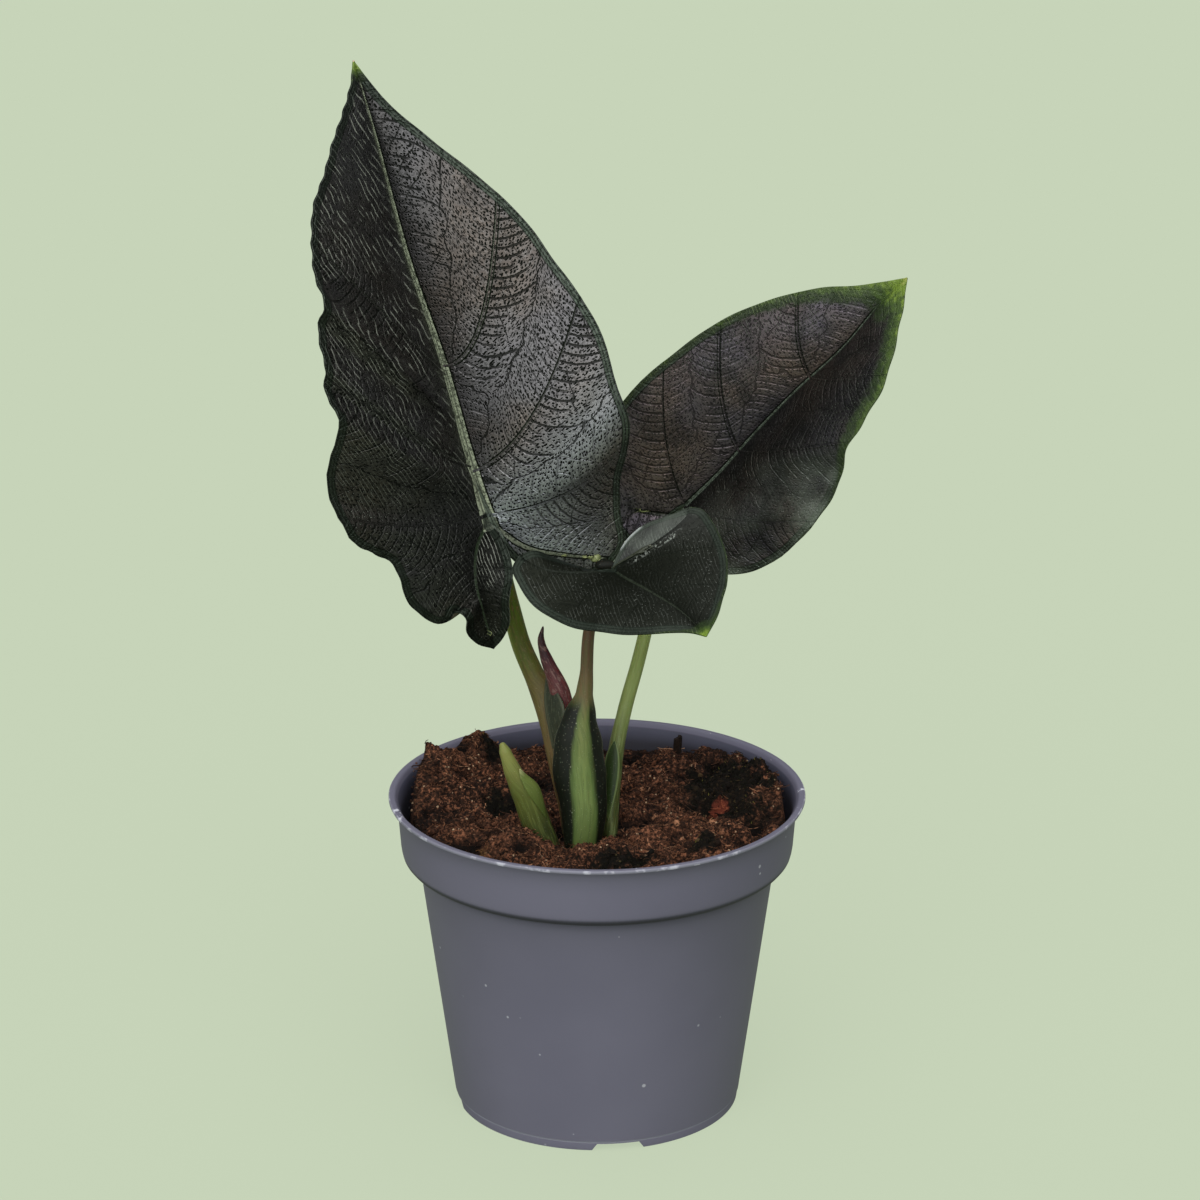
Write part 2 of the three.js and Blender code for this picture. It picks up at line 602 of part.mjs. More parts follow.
function bladeGeometry({ midrib, halves, ribRise, steps }) {
  const points = [];
  const faces = [];
  const find = new Map();
  const indexOf = ({ place, rise }) => {
    const key = place.toArray().map((v) => v.toFixed(3)).join(' ');
    if (!find.has(key)) {
      find.set(key, points.length);
      points.push({ place, rise, normal: new THREE.Vector3(), edge: false });
    }
    return find.get(key);
  };
  halves.forEach((half, side) => {
    const grid = sheetOf(midrib, half, steps).map((line) => line.map(indexOf));
    for (let i = 0; i < grid.length - 1; i += 1) {
      for (let k = 0; k < steps.across; k += 1) {
        const [a, b, c, d] = [grid[i][k], grid[i][k + 1], grid[i + 1][k + 1], grid[i + 1][k]];
        const pair = side === 0 ? [[a, b, c], [a, c, d]] : [[a, c, b], [a, d, c]];
        for (const face of pair) if (new Set(face).size === 3) faces.push(face);
      }
    }
  });
  const [ab, ac] = [new THREE.Vector3(), new THREE.Vector3()];
  for (const [a, b, c] of faces) {
    ab.subVectors(points[b].place, points[a].place);
    ac.subVectors(points[c].place, points[a].place);
    const normal = ab.cross(ac);
    for (const corner of [a, b, c]) points[corner].normal.add(normal);
  }
  const upper = points.map(({ place, normal }) =>
    place.clone().addScaledVector(normal.normalize(), BLADE_THICKNESS / 2));
  const lower = points.map(({ place, normal, rise }) =>
    place.clone().addScaledVector(normal, -BLADE_THICKNESS / 2 - rise * ribRise));
  const count = points.length;
  const triangles = faces.flatMap(([a, b, c]) => [a, b, c, a + count, c + count, b + count]);
  const edges = new Map();
  for (const [a, b, c] of faces) {
    for (const [from, to] of [[a, b], [b, c], [c, a]]) {
      if (!edges.delete(`${to} ${from}`)) edges.set(`${from} ${to}`, [from, to]);
    }
  }
  for (const [from, to] of edges.values()) {
    triangles.push(from, to + count, to, from, from + count, to + count);
  }
  return outward(closedGeometry([...upper, ...lower], triangles));
}

function makeBlades() {
  return Object.entries(BLADES).map(([name, blade]) => named(name, bladeGeometry(blade), DARK_BLADE));
}

// The whole plant

const plant = new THREE.Group();
plant.add(makePot());
plant.add(makeSoil());
plant.add(named('corm', cormGeometry(0), CORM_BROWN));
plant.add(...makeStalks());
plant.add(...makeBlades());

export default plant;
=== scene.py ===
# %% [markdown]
# This lesson dresses a young velvet-leaved alocasia in its nursery pot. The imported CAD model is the
# frame: it fixes every size and place. Each cell below adds one piece or one finish over it.

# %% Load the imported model
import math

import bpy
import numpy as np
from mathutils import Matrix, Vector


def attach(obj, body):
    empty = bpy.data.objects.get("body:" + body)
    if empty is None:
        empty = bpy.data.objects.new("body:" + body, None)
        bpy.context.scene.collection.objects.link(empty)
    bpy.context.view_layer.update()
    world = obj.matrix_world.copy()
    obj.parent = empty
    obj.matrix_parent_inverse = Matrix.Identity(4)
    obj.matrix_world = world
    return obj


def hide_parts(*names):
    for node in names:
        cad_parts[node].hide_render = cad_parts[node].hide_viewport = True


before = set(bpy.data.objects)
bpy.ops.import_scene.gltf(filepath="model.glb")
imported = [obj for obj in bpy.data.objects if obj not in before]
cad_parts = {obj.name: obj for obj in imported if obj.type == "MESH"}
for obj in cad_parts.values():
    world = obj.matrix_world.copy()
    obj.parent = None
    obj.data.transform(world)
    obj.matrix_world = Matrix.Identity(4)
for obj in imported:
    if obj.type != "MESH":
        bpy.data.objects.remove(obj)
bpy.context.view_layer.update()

# %% [markdown]
# Everything else is Blender's own Python: numpy for whole arrays of points and mathutils for single
# vectors. Blender counts in metres and the plant was measured in millimetres, so a length is written in
# millimetres and multiplied by MM where it is used.

MM = 0.001
FRONT = np.array([0.0, -1.0, 0.0])
print("CAD nodes:", sorted(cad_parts))

# %% [markdown]
# Blender's operators act on whatever is selected, and loading the frame leaves its nodes selected.
# So a lesson that models with operators needs two habits: clear the selection before adding
# anything, and choose a piece by name before changing it.

# %% Selecting


def deselect():
    """Leaves edit mode and selects nothing."""
    if bpy.context.mode != "OBJECT":
        bpy.ops.object.mode_set(mode="OBJECT")
    bpy.ops.object.select_all(action="DESELECT")


def choose(*pieces):
    """Selects these pieces alone; the first is the active one."""
    deselect()
    for piece in pieces:
        piece.select_set(True)
    bpy.context.view_layer.objects.active = pieces[0]


def edit(piece, *steps):
    """Runs mesh operators on the whole of a piece in edit mode."""
    choose(piece)
    bpy.ops.object.mode_set(mode="EDIT")
    bpy.ops.mesh.select_all(action="SELECT")
    for step in steps:
        step()
    bpy.ops.object.mode_set(mode="OBJECT")


def merge_doubles():
    bpy.ops.mesh.remove_doubles(threshold=0.01 * MM)


def face_outwards():
    bpy.ops.mesh.normals_make_consistent(inside=False)


def apply_modifier(piece, kind, **settings):
    """Adds a modifier, sets it and applies it at once."""
    choose(piece)
    modifier = piece.modifiers.new(kind.title(), kind)
    for key, value in settings.items():
        setattr(modifier, key, value)
    bpy.ops.object.modifier_apply(modifier=modifier.name)


def points_of(piece):
    """The piece's points as an array, in metres."""
    flat = np.empty(len(piece.data.vertices) * 3)
    piece.data.vertices.foreach_get("co", flat)
    return flat.reshape(-1, 3)


def move_points(piece, places):
    piece.data.vertices.foreach_set("co", np.asarray(places, float).ravel())
    piece.data.update()


def triangles_of(piece):
    return sum(len(face.vertices) - 2 for face in piece.data.polygons)


# %% [markdown]
# A leaf or a stalk is a surface over two directions, along and across. It could be sculpted, or
# grown from a curve with a bevel, but a curve keeps one cross section and a sculpt keeps no sizes.
# A grid primitive is the same surface lying flat: its points are moved row by row to where the
# surface is, so it stays regular, and values can be painted on it in the same rows.

# %% A grid moved into shape
GRID_PLACES = {}


def shaped_grid(name, place, painted, flat_map=None):
    """A grid primitive with its points moved to place[row, column].
    painted holds named values per point, and flat_map the UV map, in millimetres."""
    rows, columns = place.shape[:2]
    deselect()
    bpy.ops.mesh.primitive_grid_add(x_subdivisions=columns - 1, y_subdivisions=rows - 1, size=1)
    piece = bpy.context.object
    piece.name = piece.data.name = name
    start = points_of(piece)
    column = np.rint((start[:, 0] + 0.5) * (columns - 1)).astype(int)
    row = np.rint((start[:, 1] + 0.5) * (rows - 1)).astype(int)
    GRID_PLACES[(rows, columns)] = (row, column)
    move_points(piece, place[row, column])
    for label, values in painted.items():
        paint(piece.data, label, values[row, column])
    if flat_map is not None:
        corner = np.empty(len(piece.data.loops), int)
        piece.data.loops.foreach_get("vertex_index", corner)
        lay_map(piece, "surface_mm", flat_map[row[corner], column[corner]])
    return piece


def paint(mesh, label, values):
    """Gives each point of a mesh a value that a material can read by its label."""
    layer = mesh.attributes.new(label, "FLOAT", "POINT")
    layer.data.foreach_set("value", np.asarray(values, np.float32))


def lay_map(piece, label, surface):
    """Fills the grid's UV map with one place per face corner."""
    piece.data.uv_layers.active.data.foreach_set("uv", surface.ravel().astype(np.float32))
    piece.data.uv_layers.active.name = label


def smooth_curve(points):
    """A function from a share of the length to places on a smooth curve through the points."""
    knots = np.array(points, float) * MM
    knots = np.vstack([2 * knots[0] - knots[1], knots, 2 * knots[-1] - knots[-2]])
    gap = np.sqrt(np.linalg.norm(np.diff(knots, axis=0), axis=1))
    t = np.linspace(0, 1, 60)[:, None]
    trail = []
    for i in range(1, len(knots) - 2):
        before, here, there, after = knots[i - 1 : i + 3]
        a, b, c = gap[i - 1 : i + 2]
        leave = ((here - before) / a - (there - before) / (a + b) + (there - here) / b) * b
        arrive = ((there - here) / b - (after - here) / (b + c) + (after - there) / c) * b
        trail.append(
            (2 * t**3 - 3 * t**2 + 1) * here
            + (t**3 - 2 * t**2 + t) * leave
            + (3 * t**2 - 2 * t**3) * there
            + (t**3 - t**2) * arrive
        )
    trail = np.vstack(trail)
    length = np.concatenate([[0], np.cumsum(np.linalg.norm(np.diff(trail, axis=0), axis=1))])
    share = length / length[-1]
    return lambda at: np.stack([np.interp(at, share, trail[:, k]) for k in range(3)], axis=-1)


def between(stations, at, column=1):
    """Straight interpolation in a table of [share, value, value, ...]."""
    table = np.array(stations, float)
    return np.interp(at, table[:, 0], table[:, column])


def unit(vectors):
    length = np.linalg.norm(vectors, axis=-1, keepdims=True)
    return vectors / np.maximum(length, 1e-9)


def crowded_ends(count, crowding):
    """Shares from 0 to 1 that lie closer together near both ends."""
    t = np.linspace(0, 1, count + 1)
    return t - crowding * np.sin(2 * np.pi * t) / (2 * np.pi)


# %% [markdown]
# Materials are node trees. A few short helpers keep them readable: one places a node and feeds its
# sockets, some do arithmetic under plain names, one turns a band of values into a soft mask from 0 to
# 1, and one lays a colour over another. They find the tree to build in from the links they are given.
# A colour is written as the photograph's 0 to 255 values.

# %% Node helpers


def link_or_set(sockets, values):
    for name, value in values.items():
        if isinstance(value, bpy.types.NodeSocket):
            value.id_data.links.new(value, sockets[name])
        else:
            sockets[name].default_value = value


def place_node(tree, kind, sockets=None, output=0, **settings):
    """Places a shader node, sets it, feeds its sockets with links or values, and gives one output."""
    made = tree.nodes.new("ShaderNode" + kind)
    for key, value in settings.items():
        setattr(made, key, value)
    link_or_set(made.inputs, sockets or {})
    return made.outputs[output] if made.outputs else None


def tree_of(*values):
    """The node tree that a link among these values belongs to."""
    return next(value.id_data for value in values if isinstance(value, bpy.types.NodeSocket))


def maths(operation, *values):
    return place_node(tree_of(*values), "Math", dict(enumerate(values)), operation=operation)


def combined(operation, values):
    out = values[0]
    for value in values[1:]:
        out = maths(operation, out, value)
    return out


def times(*values):
    return combined("MULTIPLY", values)


def plus(*values):
    return combined("ADD", values)


def most(*values):
    return combined("MAXIMUM", values)


def minus(value, less):
    return maths("SUBTRACT", value, less)


def gap(value, middle):
    """How far a value is from a middle, on either side."""
    return maths("ABSOLUTE", minus(value, middle))


def vector_maths(operation, *values, output=0):
    sockets = dict(enumerate(values))
    return place_node(tree_of(*values), "VectorMath", sockets, output, operation=operation)


def mask(value, low, high):
    """0 at low, 1 at high, smooth between; low may be the greater."""
    sockets = {"Value": value, "From Min": low, "From Max": high}
    return place_node(value.id_data, "MapRange", sockets, interpolation_type="SMOOTHSTEP")


def colour(red, green, blue):
    """A colour from the photo's 0 to 255 values, in the renderer's linear light."""
    linear = []
    for value in (red, green, blue):
        share = value / 255
        linear.append(share / 12.92 if share <= 0.04045 else ((share + 0.055) / 1.055) ** 2.4)
    return (*linear, 1.0)


def blend_colour(share, first, second):
    """The first colour where share is 0, the second where it is 1. A colour is a socket or three
    values from 0 to 255."""
    first, second = (colour(*tone) if isinstance(tone, tuple) else tone for tone in (first, second))
    sockets = {0: share, 6: first, 7: second}
    tree = tree_of(share, first, second)
    return place_node(tree, "Mix", sockets, output=2, data_type="RGBA", clamp_factor=True)


def painted_value(tree, label):
    return place_node(tree, "Attribute", output="Fac", attribute_name=label)


def object_place(tree):
    return place_node(tree, "TexCoord", output="Object")


def cloudy(where, scale, detail):
    """Soft noise from 0 to 1; scale is in waves a metre."""
    return place_node(where.id_data, "TexNoise", {"Vector": where, "Scale": scale, "Detail": detail})


def split(place):
    """The X, Y and Z of a place."""
    return place_node(place.id_data, "SeparateXYZ", {0: place}).node.outputs


def darker(tone):
    return tuple(0.7 * value for value in tone)


def new_material(name):
    """A material with an empty tree but for its Principled BSDF and output."""
    material = bpy.data.materials.new(name)
    material.use_nodes = True
    return material, material.node_tree, material.node_tree.nodes["Principled BSDF"]


def feed(shader, **sockets):
    """Links or sets the shader's sockets; a name's _ stands for a space."""
    link_or_set(shader.inputs, {name.replace("_", " "): value for name, value in sockets.items()})


def repaint(shader, share, tone):
    """Lays one more colour over the skin where share is 1."""
    under_it = shader.inputs["Base Color"].links[0].from_socket
    feed(shader, Base_Color=blend_colour(share, under_it, tone))


def bumped(height, distance, strength):
    sockets = {"Height": height, "Distance": distance, "Strength": strength}
    return place_node(height.id_data, "Bump", sockets)


# %% [markdown]
# The camera stands where the photographer stood: 1.3 m away and looking down by 19 degrees, which
# shows the pot's mouth as a flat ellipse. A long lens keeps the pot's sides from leaning. The small
# sideways shift frames the pot a touch left of the middle, as in the picture.

# %% Camera
LOOK_AT = Vector((0, 0, 0.1526))
LOOK_DOWN_DEGREES = 19.18
CAMERA_DISTANCE = 1.3
FOCAL_LENGTH_MM = 137.4

down = math.radians(LOOK_DOWN_DEGREES)
camera_place = LOOK_AT + CAMERA_DISTANCE * Vector((0, -math.cos(down), math.sin(down)))
deselect()
bpy.ops.object.camera_add(location=camera_place, rotation=(math.pi / 2 - down, 0, 0))
camera = bpy.context.object
camera.name = "camera"
camera.data.lens = FOCAL_LENGTH_MM
camera.data.sensor_width = 36
camera.data.shift_x = 0.0025
camera.data.clip_end = 100
bpy.context.scene.camera = camera
bpy.context.scene.view_settings.view_transform = "Standard"
print("camera at", [round(v, 4) for v in camera.location])

# %% [markdown]
# The studio is one pale green sheet under soft light. Lamps could do it, but they would fade over the
# floor, and the picture's ground is even. So the light comes from the surroundings: a dim room with a
# broad soft light overhead and two screens. The bright one stands low at the front left and gives the
# dark leaves their silver sheen. The other is high in front and lights pot and soil. The sheet glows
# of its own, which keeps its shadows as faint as they are in the picture, but it throws less of that
# glow at the plant, or the pot would look lit from below.

# %% Floor and light
FLOOR_SIZE = 16
FLOOR_GLOW = {"seen": 0.84, "bounced": 0.5}
ROOM_GLOW = 0.22
SCREENS = {
    "bright_screen": {"left": 34, "up": 5, "core": 17, "edge": 38, "glow": 1.9},
    "front_fill": {"left": -2, "up": 42, "core": 14, "edge": 42, "glow": 2.6},
    "overhead": {"left": 0, "up": 84, "core": 20, "edge": 60, "glow": 1.2},
}

deselect()
bpy.ops.mesh.primitive_plane_add(size=FLOOR_SIZE)
floor = bpy.context.object
floor.name = "floor"
floor_paint, tree, shader = new_material("floor_paint")
feed(shader, Base_Color=colour(77, 82, 71), Roughness=1.0, Specular_IOR_Level=0.0)
in_view = place_node(tree, "LightPath", output="Is Camera Ray")
extra = times(in_view, FLOOR_GLOW["seen"] - FLOOR_GLOW["bounced"])
floor_glow = plus(extra, FLOOR_GLOW["bounced"])
feed(shader, Emission_Color=colour(198, 211, 184), Emission_Strength=floor_glow)
floor.data.materials.append(floor_paint)

world = bpy.data.worlds.new("studio")
bpy.context.scene.world = world
world.use_nodes = True
tree = world.node_tree
tree.nodes.clear()
direction = place_node(tree, "TexCoord", output="Generated")
glow = ROOM_GLOW
for screen in SCREENS.values():
    left, up = math.radians(screen["left"]), math.radians(screen["up"])
    towards = (-math.sin(left) * math.cos(up), -math.cos(left) * math.cos(up), math.sin(up))
    facing = vector_maths("DOT_PRODUCT", direction, towards, output="Value")
    edge, core = (math.cos(math.radians(screen[key])) for key in ("edge", "core"))
    lit = mask(facing, edge, core)
    glow = plus(glow, times(lit, screen["glow"]))
light = place_node(tree, "Background", {"Color": (1, 1, 1, 1), "Strength": glow})
seen = place_node(tree, "Background", {"Color": colour(198, 211, 184), "Strength": 1.0})
is_view = place_node(tree, "LightPath", output="Is Camera Ray")
surroundings = place_node(tree, "MixShader", {0: is_view, 1: light, 2: seen})
place_node(tree, "OutputWorld", {"Surface": surroundings})
print("light screens:", list(SCREENS))

# %% [markdown]
# Leaf blades come next, the heart of the picture. A real blade is a thin sheet that hangs from a
# midrib and side ribs, with small pillows between the veins. Here each half is a fan of spokes from
# the midrib to the edge. The spokes bow as the side veins do, so a side vein is simply one spoke,
# and what is painted along the spokes follows the leaf. The outlines are those of the CAD model.

# %% Leaf measures, in millimetres
# Three kinds of rows in each half are painted light, as [share of the edge, near the midrib, near the edge]:
# how much shade or highlight is painted into the colour, how thick the painted glints stand, and where a
# grey painted sheen lies.
BLADES = {
    "blade_large": {
        "midrib": [
            (-67.5, 20, 304), (-61.5, 17, 282), (-53, 11, 249.5), (-43.5, 4, 221.5), (-36, -2, 195),
            (-30.5, -6, 178),
        ],
        "left": {
            "side": -1,
            "outer": [
                (-67.5, 20, 304), (-68, 14, 298.5), (-70, 6, 292), (-72.5, -1, 285.5), (-74.5, -7, 278.5),
                (-77, -15, 272), (-77.5, -19, 267), (-76.5, -27, 255.5), (-73.5, -33, 248.5),
                (-75.5, -31, 243), (-75, -33, 237.5), (-73.5, -36, 232), (-74, -35, 227),
                (-73, -37, 223.5), (-70, -39, 218.5), (-71, -36, 211.5), (-73.5, -32.5, 203),
                (-74, -32, 197.5), (-73, -32, 192), (-70, -32.5, 186), (-67.5, -31, 180.5),
                (-62.5, -28.5, 176.5), (-57, -26, 172.5), (-54.5, -25.5, 167), (-53, -24.5, 161),
                (-49.5, -23, 156.5), (-45, -21, 153), (-41.5, -20, 153.5), (-40, -20.5, 156),
                (-38.5, -21.5, 156.5), (-36.5, -21, 154), (-36.5, -18, 149), (-33.5, -15.5, 145),
                (-29, -14, 143),
            ],
            "rib": [
                (-30.5, -6, 178), (-33.5, -11, 172.5), (-34, -15, 164.5), (-32, -17, 155.5), (-30, -16, 148),
            ],
            "inner": [
                (-29, -14, 143), (-26.5, -17, 147), (-24.5, -20, 152.5), (-24.5, -21, 160),
                (-23.5, -20, 167), (-24.5, -16, 172), (-27, -11, 175.5), (-30.5, -6, 178),
            ],
            "reach": [(0, 0), (0.68, 0.27), (0.88, 0.455), (0.985, 0.66), (1, 0.69)],
            "veins": [0.68, 0.88, 0.985],
            "sweep": [(0, 0.17), (1, 0.14)],
            "cup": 0.05,
            "wave": (36, 0.25),
            "green_edge": [(0, 1.5), (0.05, 0), (1, 0)],
            "painted_sheen": [
                (0, 0.55, 0.5), (0.25, 0.42, 0.45), (0.7, 0.32, 0.45), (1, 0.2, 0.4), (1.15, 0.2, 0.3),
                (2, 0.2, 0.2),
            ],
            "painted_glint": [
                (0, 1, 1), (0.3, 0.9, 1), (0.5, 0.5, 0.6), (0.65, 0.2, 0.3), (1, 0.15, 0.25),
                (1.12, 1.3, 1), (2, 1.3, 0.9),
            ],
        },
        "right": {
            "side": 1,
            "outer": [
                (-67.5, 20, 304), (-58.5, 18, 293), (-46, 14, 283), (-31.5, 9, 272.5), (-20, 4, 262.5),
                (-12, -1, 252.5), (-4, -6, 242.5), (2, -10, 232), (5, -12, 221), (9, -13, 209.5),
                (8.5, -11, 201.5), (6.5, -8, 191.5), (6.5, -5, 181), (7.5, -3, 170.5), (4, -3, 164.5),
            ],
            "rib": [(-30.5, -6, 178), (-20, -7.5, 171), (-9, -7, 168.5), (0, -5, 167)],
            "inner": [
                (4, -3, 164.5), (-2, -3.5, 161.5), (-10.5, -4.5, 161), (-18, -5.8, 162.5),
                (-24, -7.2, 167.5), (-28, -7.4, 173), (-30.5, -6, 178),
            ],
            "reach": [(0, 0), (0.66, 0.31), (0.89, 0.52), (0.985, 0.79), (1, 0.82)],
            "veins": [0.66, 0.89, 0.985],
            "sweep": [(0, 0.45), (0.66, 0.48), (0.89, 0.3), (1, 0.15)],
            "cup": 0.04,
            "wave": (12, 0.2),
            "green_edge": [(0, 1.5), (0.05, 0), (1, 0)],
            "painted_glint": [(0, 0, 0), (0.72, 0, 0), (0.78, 0, 0.7), (1, 0.1, 0.7), (2, 0.2, 0.3)],
            "painted_sheen": [
                (0, 0.42, 0.5), (0.3, 0.85, 0.76), (0.55, 1.2, 1.0), (0.7, 1.45, 1.5), (0.76, 1.7, 0.5),
                (0.95, 1.7, 0.5), (1.2, 1.3, 1.3),
            ],
        },
        "steps": {"midrib": 190, "lobe": 56, "across": 60},
        "midrib_width": [(0, 0.35), (0.35, 1.1), (0.7, 1.95), (1, 2.6)],
        "side_vein_width": (0.4, 0.36, 0.28),
        "rib_width": (0.8, 0.5, 0.3),
        "tip_length": 7,
        "rib_rise": 1.7,
        "relief": 0.5,
    },
    "blade_right": {
        "midrib": [
            (86.5, 8, 245), (81.5, 10, 239.5), (69.5, 14, 223), (56.5, 18, 209), (45.5, 21, 196),
            (35, 23, 183), (22.5, 24, 170),
        ],
        "left": {
            "side": -1,
            "outer": [
                (86.5, 8, 245), (74, 13, 241.5), (62, 17, 239.5), (46.5, 20, 234.5), (33.5, 21, 228),
                (20, 22, 217.5), (10.5, 21, 209), (3.5, 20, 198.5), (1, 19, 185.5), (3, 18, 172),
                (8, 18.5, 164),
            ],
            "rib": [(22.5, 24, 170), (16.5, 23.5, 171), (9, 21.5, 173)],
            "inner": [(8, 18.5, 164), (13, 19.5, 162.5), (18, 21.5, 165), (22.5, 24, 170)],
            "reach": [(0, 0), (0.73, 0.41), (0.96, 0.56), (1, 0.74)],
            "veins": [0.42, 0.73, 0.96],
            "sweep": [(0, 0.2), (1, 0.15)],
            "cup": 0.05,
            "wave": (10, 0.25),
            "green_edge": [(0, 9), (0.1, 7), (0.25, 4.5), (0.5, 2.6), (0.8, 1.4), (1, 0)],
            "painted_glint": [(0, 0, 0.9), (0.25, 0, 0.9), (0.5, 0, 0.4), (1, 0, 0.1)],
            "painted_sheen": [
                (0, 0.9, 0.9), (0.4, 0.72, 0.7), (0.7, 0.98, 0.95), (1, 1, 0.95), (1.08, 0.9, 0.9),
                (2, 0.6, 0.6),
            ],
        },
        "right": {
            "side": 1,
            "outer": [
                (86.5, 8, 245), (85, 2, 238), (82.5, -5, 228.5), (79.5, -9, 219), (74, -10, 208.5),
                (69.5, -8, 199.5), (68.5, -5, 191), (65, -3, 182), (57, 2, 169.5), (50, 6, 162),
                (43.5, 9, 158), (36.5, 13, 156), (29.5, 17, 157),
            ],
            "rib": [(22.5, 24, 170), (26.5, 22, 165), (30, 19, 160.5)],
            "inner": [(29.5, 17, 157), (25.5, 20, 159), (23.5, 22.5, 164), (22.5, 24, 170)],
            "reach": [(0, 0), (0.73, 0.41), (0.96, 0.64), (1, 0.8)],
            "veins": [0.42, 0.73, 0.96],
            "sweep": [(0, 0.2), (1, 0.15)],
            "cup": 0.08,
            "wave": (10, 0.25),
            "painted_glint": [(0, 0.1, 0.2), (0.6, 0.1, 0.3), (1, 0.15, 0.3)],
            "green_edge": [(0, 7), (0.15, 6.5), (0.35, 5), (0.45, 3), (0.6, 0.8), (0.8, 0.7), (1, 0.6)],
            "painted_sheen": [(0, 0.5, 0.4), (0.3, 0.3, 0.35), (0.55, 0.25, 0.6), (0.7, 0.25, 1.0), (1, 0.4, 1.0)],
            "painted_sheen_patch": [(0, 0, 0), (0.42, 0, 0), (0.52, 0, 1), (1, 0.1, 1)],
        },
        "steps": {"midrib": 150, "lobe": 30, "across": 50},
        "midrib_width": [(0, 0.3), (0.5, 0.55), (1, 0.8)],
        "side_vein_width": (0.2, 0.16, 0.12),
        "rib_width": (0.6, 0.4, 0.25),
        "tip_length": 17,
        "rib_rise": 1.3,
        "relief": 0.4,
    },
    "blade_front": {
        "midrib": [
            (30, -46, 158), (23.5, -39, 162.5), (14.5, -30, 165.5), (8, -22, 166.5), (4, -17, 167.5),
        ],
        "left": {
            "side": -1,
            "outer": [
                (30, -46, 158), (26, -46, 159), (20, -45.5, 159), (12, -44, 157.8), (2.5, -40, 157),
                (-7, -36, 157.3), (-13.5, -32, 159), (-18.5, -29, 162), (-22, -26, 166.5),
                (-23.5, -23.5, 170), (-21.5, -21, 173),
            ],
            "rib": [(4, -17, 167.5), (-4.5, -21, 168), (-13.5, -23.5, 169.5), (-19.5, -22.5, 171.5)],
            "inner": [
                (-21.5, -21, 173), (-17.5, -20, 174), (-12.5, -18.5, 171.5), (-7, -17.5, 169),
                (-1.5, -17, 167.3), (4, -17, 167.5),
            ],
            "reach": [(0, 0), (0.55, 0.35), (0.95, 0.58), (1, 0.64)],
            "veins": [0.55, 0.95],
            "sweep": [(0, 0.1), (1, 0.1)],
            "cup": 0.08,
            "wave": (5, 0.15),
            "painted_glint": [(0, 0.1, 0.8), (1, 0.1, 0.3)],
            "green_edge": [(0, 3), (0.12, 0.8), (0.3, 0), (1, 0)],
            "painted_sheen_patch": [(0, 0, 0.12), (0.5, 0, 0), (1, 0, 0)],
            "painted_sheen": [(0, 0.1, 0.2), (0.5, 0, 0), (1, 0, 0)],
        },
        "right": {
            "side": 1,
            "outer": [
                (30, -46, 158), (32.5, -45, 162.5), (34.5, -41, 167), (36, -35, 172), (35.5, -29, 177),
                (33, -24, 182), (29.5, -19, 185.5), (26, -16, 185.5),
            ],
            "rib": [(4, -17, 167.5), (12, -20, 173.5), (19.5, -20, 178.5), (25.5, -18, 182.5)],
            "inner": [
                (26, -16, 185.5), (22, -14, 183), (17, -12, 180.5), (12.5, -11, 178), (8.5, -12, 174.5),
                (6, -14, 171), (4, -17, 167.5),
            ],
            "reach": [(0, 0), (0.55, 0.35), (0.95, 0.62), (1, 0.68)],
            "veins": [0.55, 0.95],
            "sweep": [(0, 0.1), (1, 0.1)],
            "cup": 0.05,
            "wave": (5, 0.15),
            "painted_glint": [(0, 0.1, 0.2), (0.8, 0.1, 0.3), (1.2, 0.8, 0.6)],
            "painted_sheen": [(0, 0.15, 0.3), (0.6, 0.06, 0.2), (1, 0.6, 0.5), (2, 1.2, 1.0)],
            "green_edge": [(0, 3), (0.3, 0.8), (1, 0.45)],
            "painted_sheen_patch": [(0, 0, 0), (0.85, 0, 0), (1, 0.15, 0.3), (1.15, 0.3, 0.4), (2, 0.5, 0.6)],
        },
        "steps": {"midrib": 100, "lobe": 36, "across": 40},
        "midrib_width": [(0, 0.2), (1, 0.55)],
        "side_vein_width": (0.2, 0.14, 0.1),
        "rib_width": (0.4, 0.25, 0.15),
        "tip_length": 5,
        "rib_rise": 0.9,
        "relief": 0.2,
    },
}
BLADE_THICKNESS = 0.62
VEIN_GROOVE = 0.4
CORD_RISE = 0.25
PILLOW_REACH = 2.2

# %% [markdown]
# One half is worked out as a grid of places. The rows are crowded near the side veins and the columns near
# the midrib and the edge, because that is where the relief is fine. Values are painted in the same rows for
# the material: how far a point is from the nearest vein, how far from the edge, how green it is, and also
# painted light: how much shade or highlight to paint into the colour, how thick the pale painted glints
# stand, and where a grey painted sheen lies. The flat map holds real millimetres along and across, so
# patterns keep their scale.

# %% Working out half a leaf


def row_shares(veins, steps):
    """Shares of the midrib, crowded near each side vein."""
    stops = [0.0, *veins, 1.0]
    shares = [0.0]
    for low, high in zip(stops, stops[1:]):
        count = max(3, round(steps * (high - low)))
        crowding = 0.0 if high - low < 0.05 else 0.5
        shares.extend(low + (high - low) * crowded_ends(count, crowding)[1:])
    return np.array(shares)


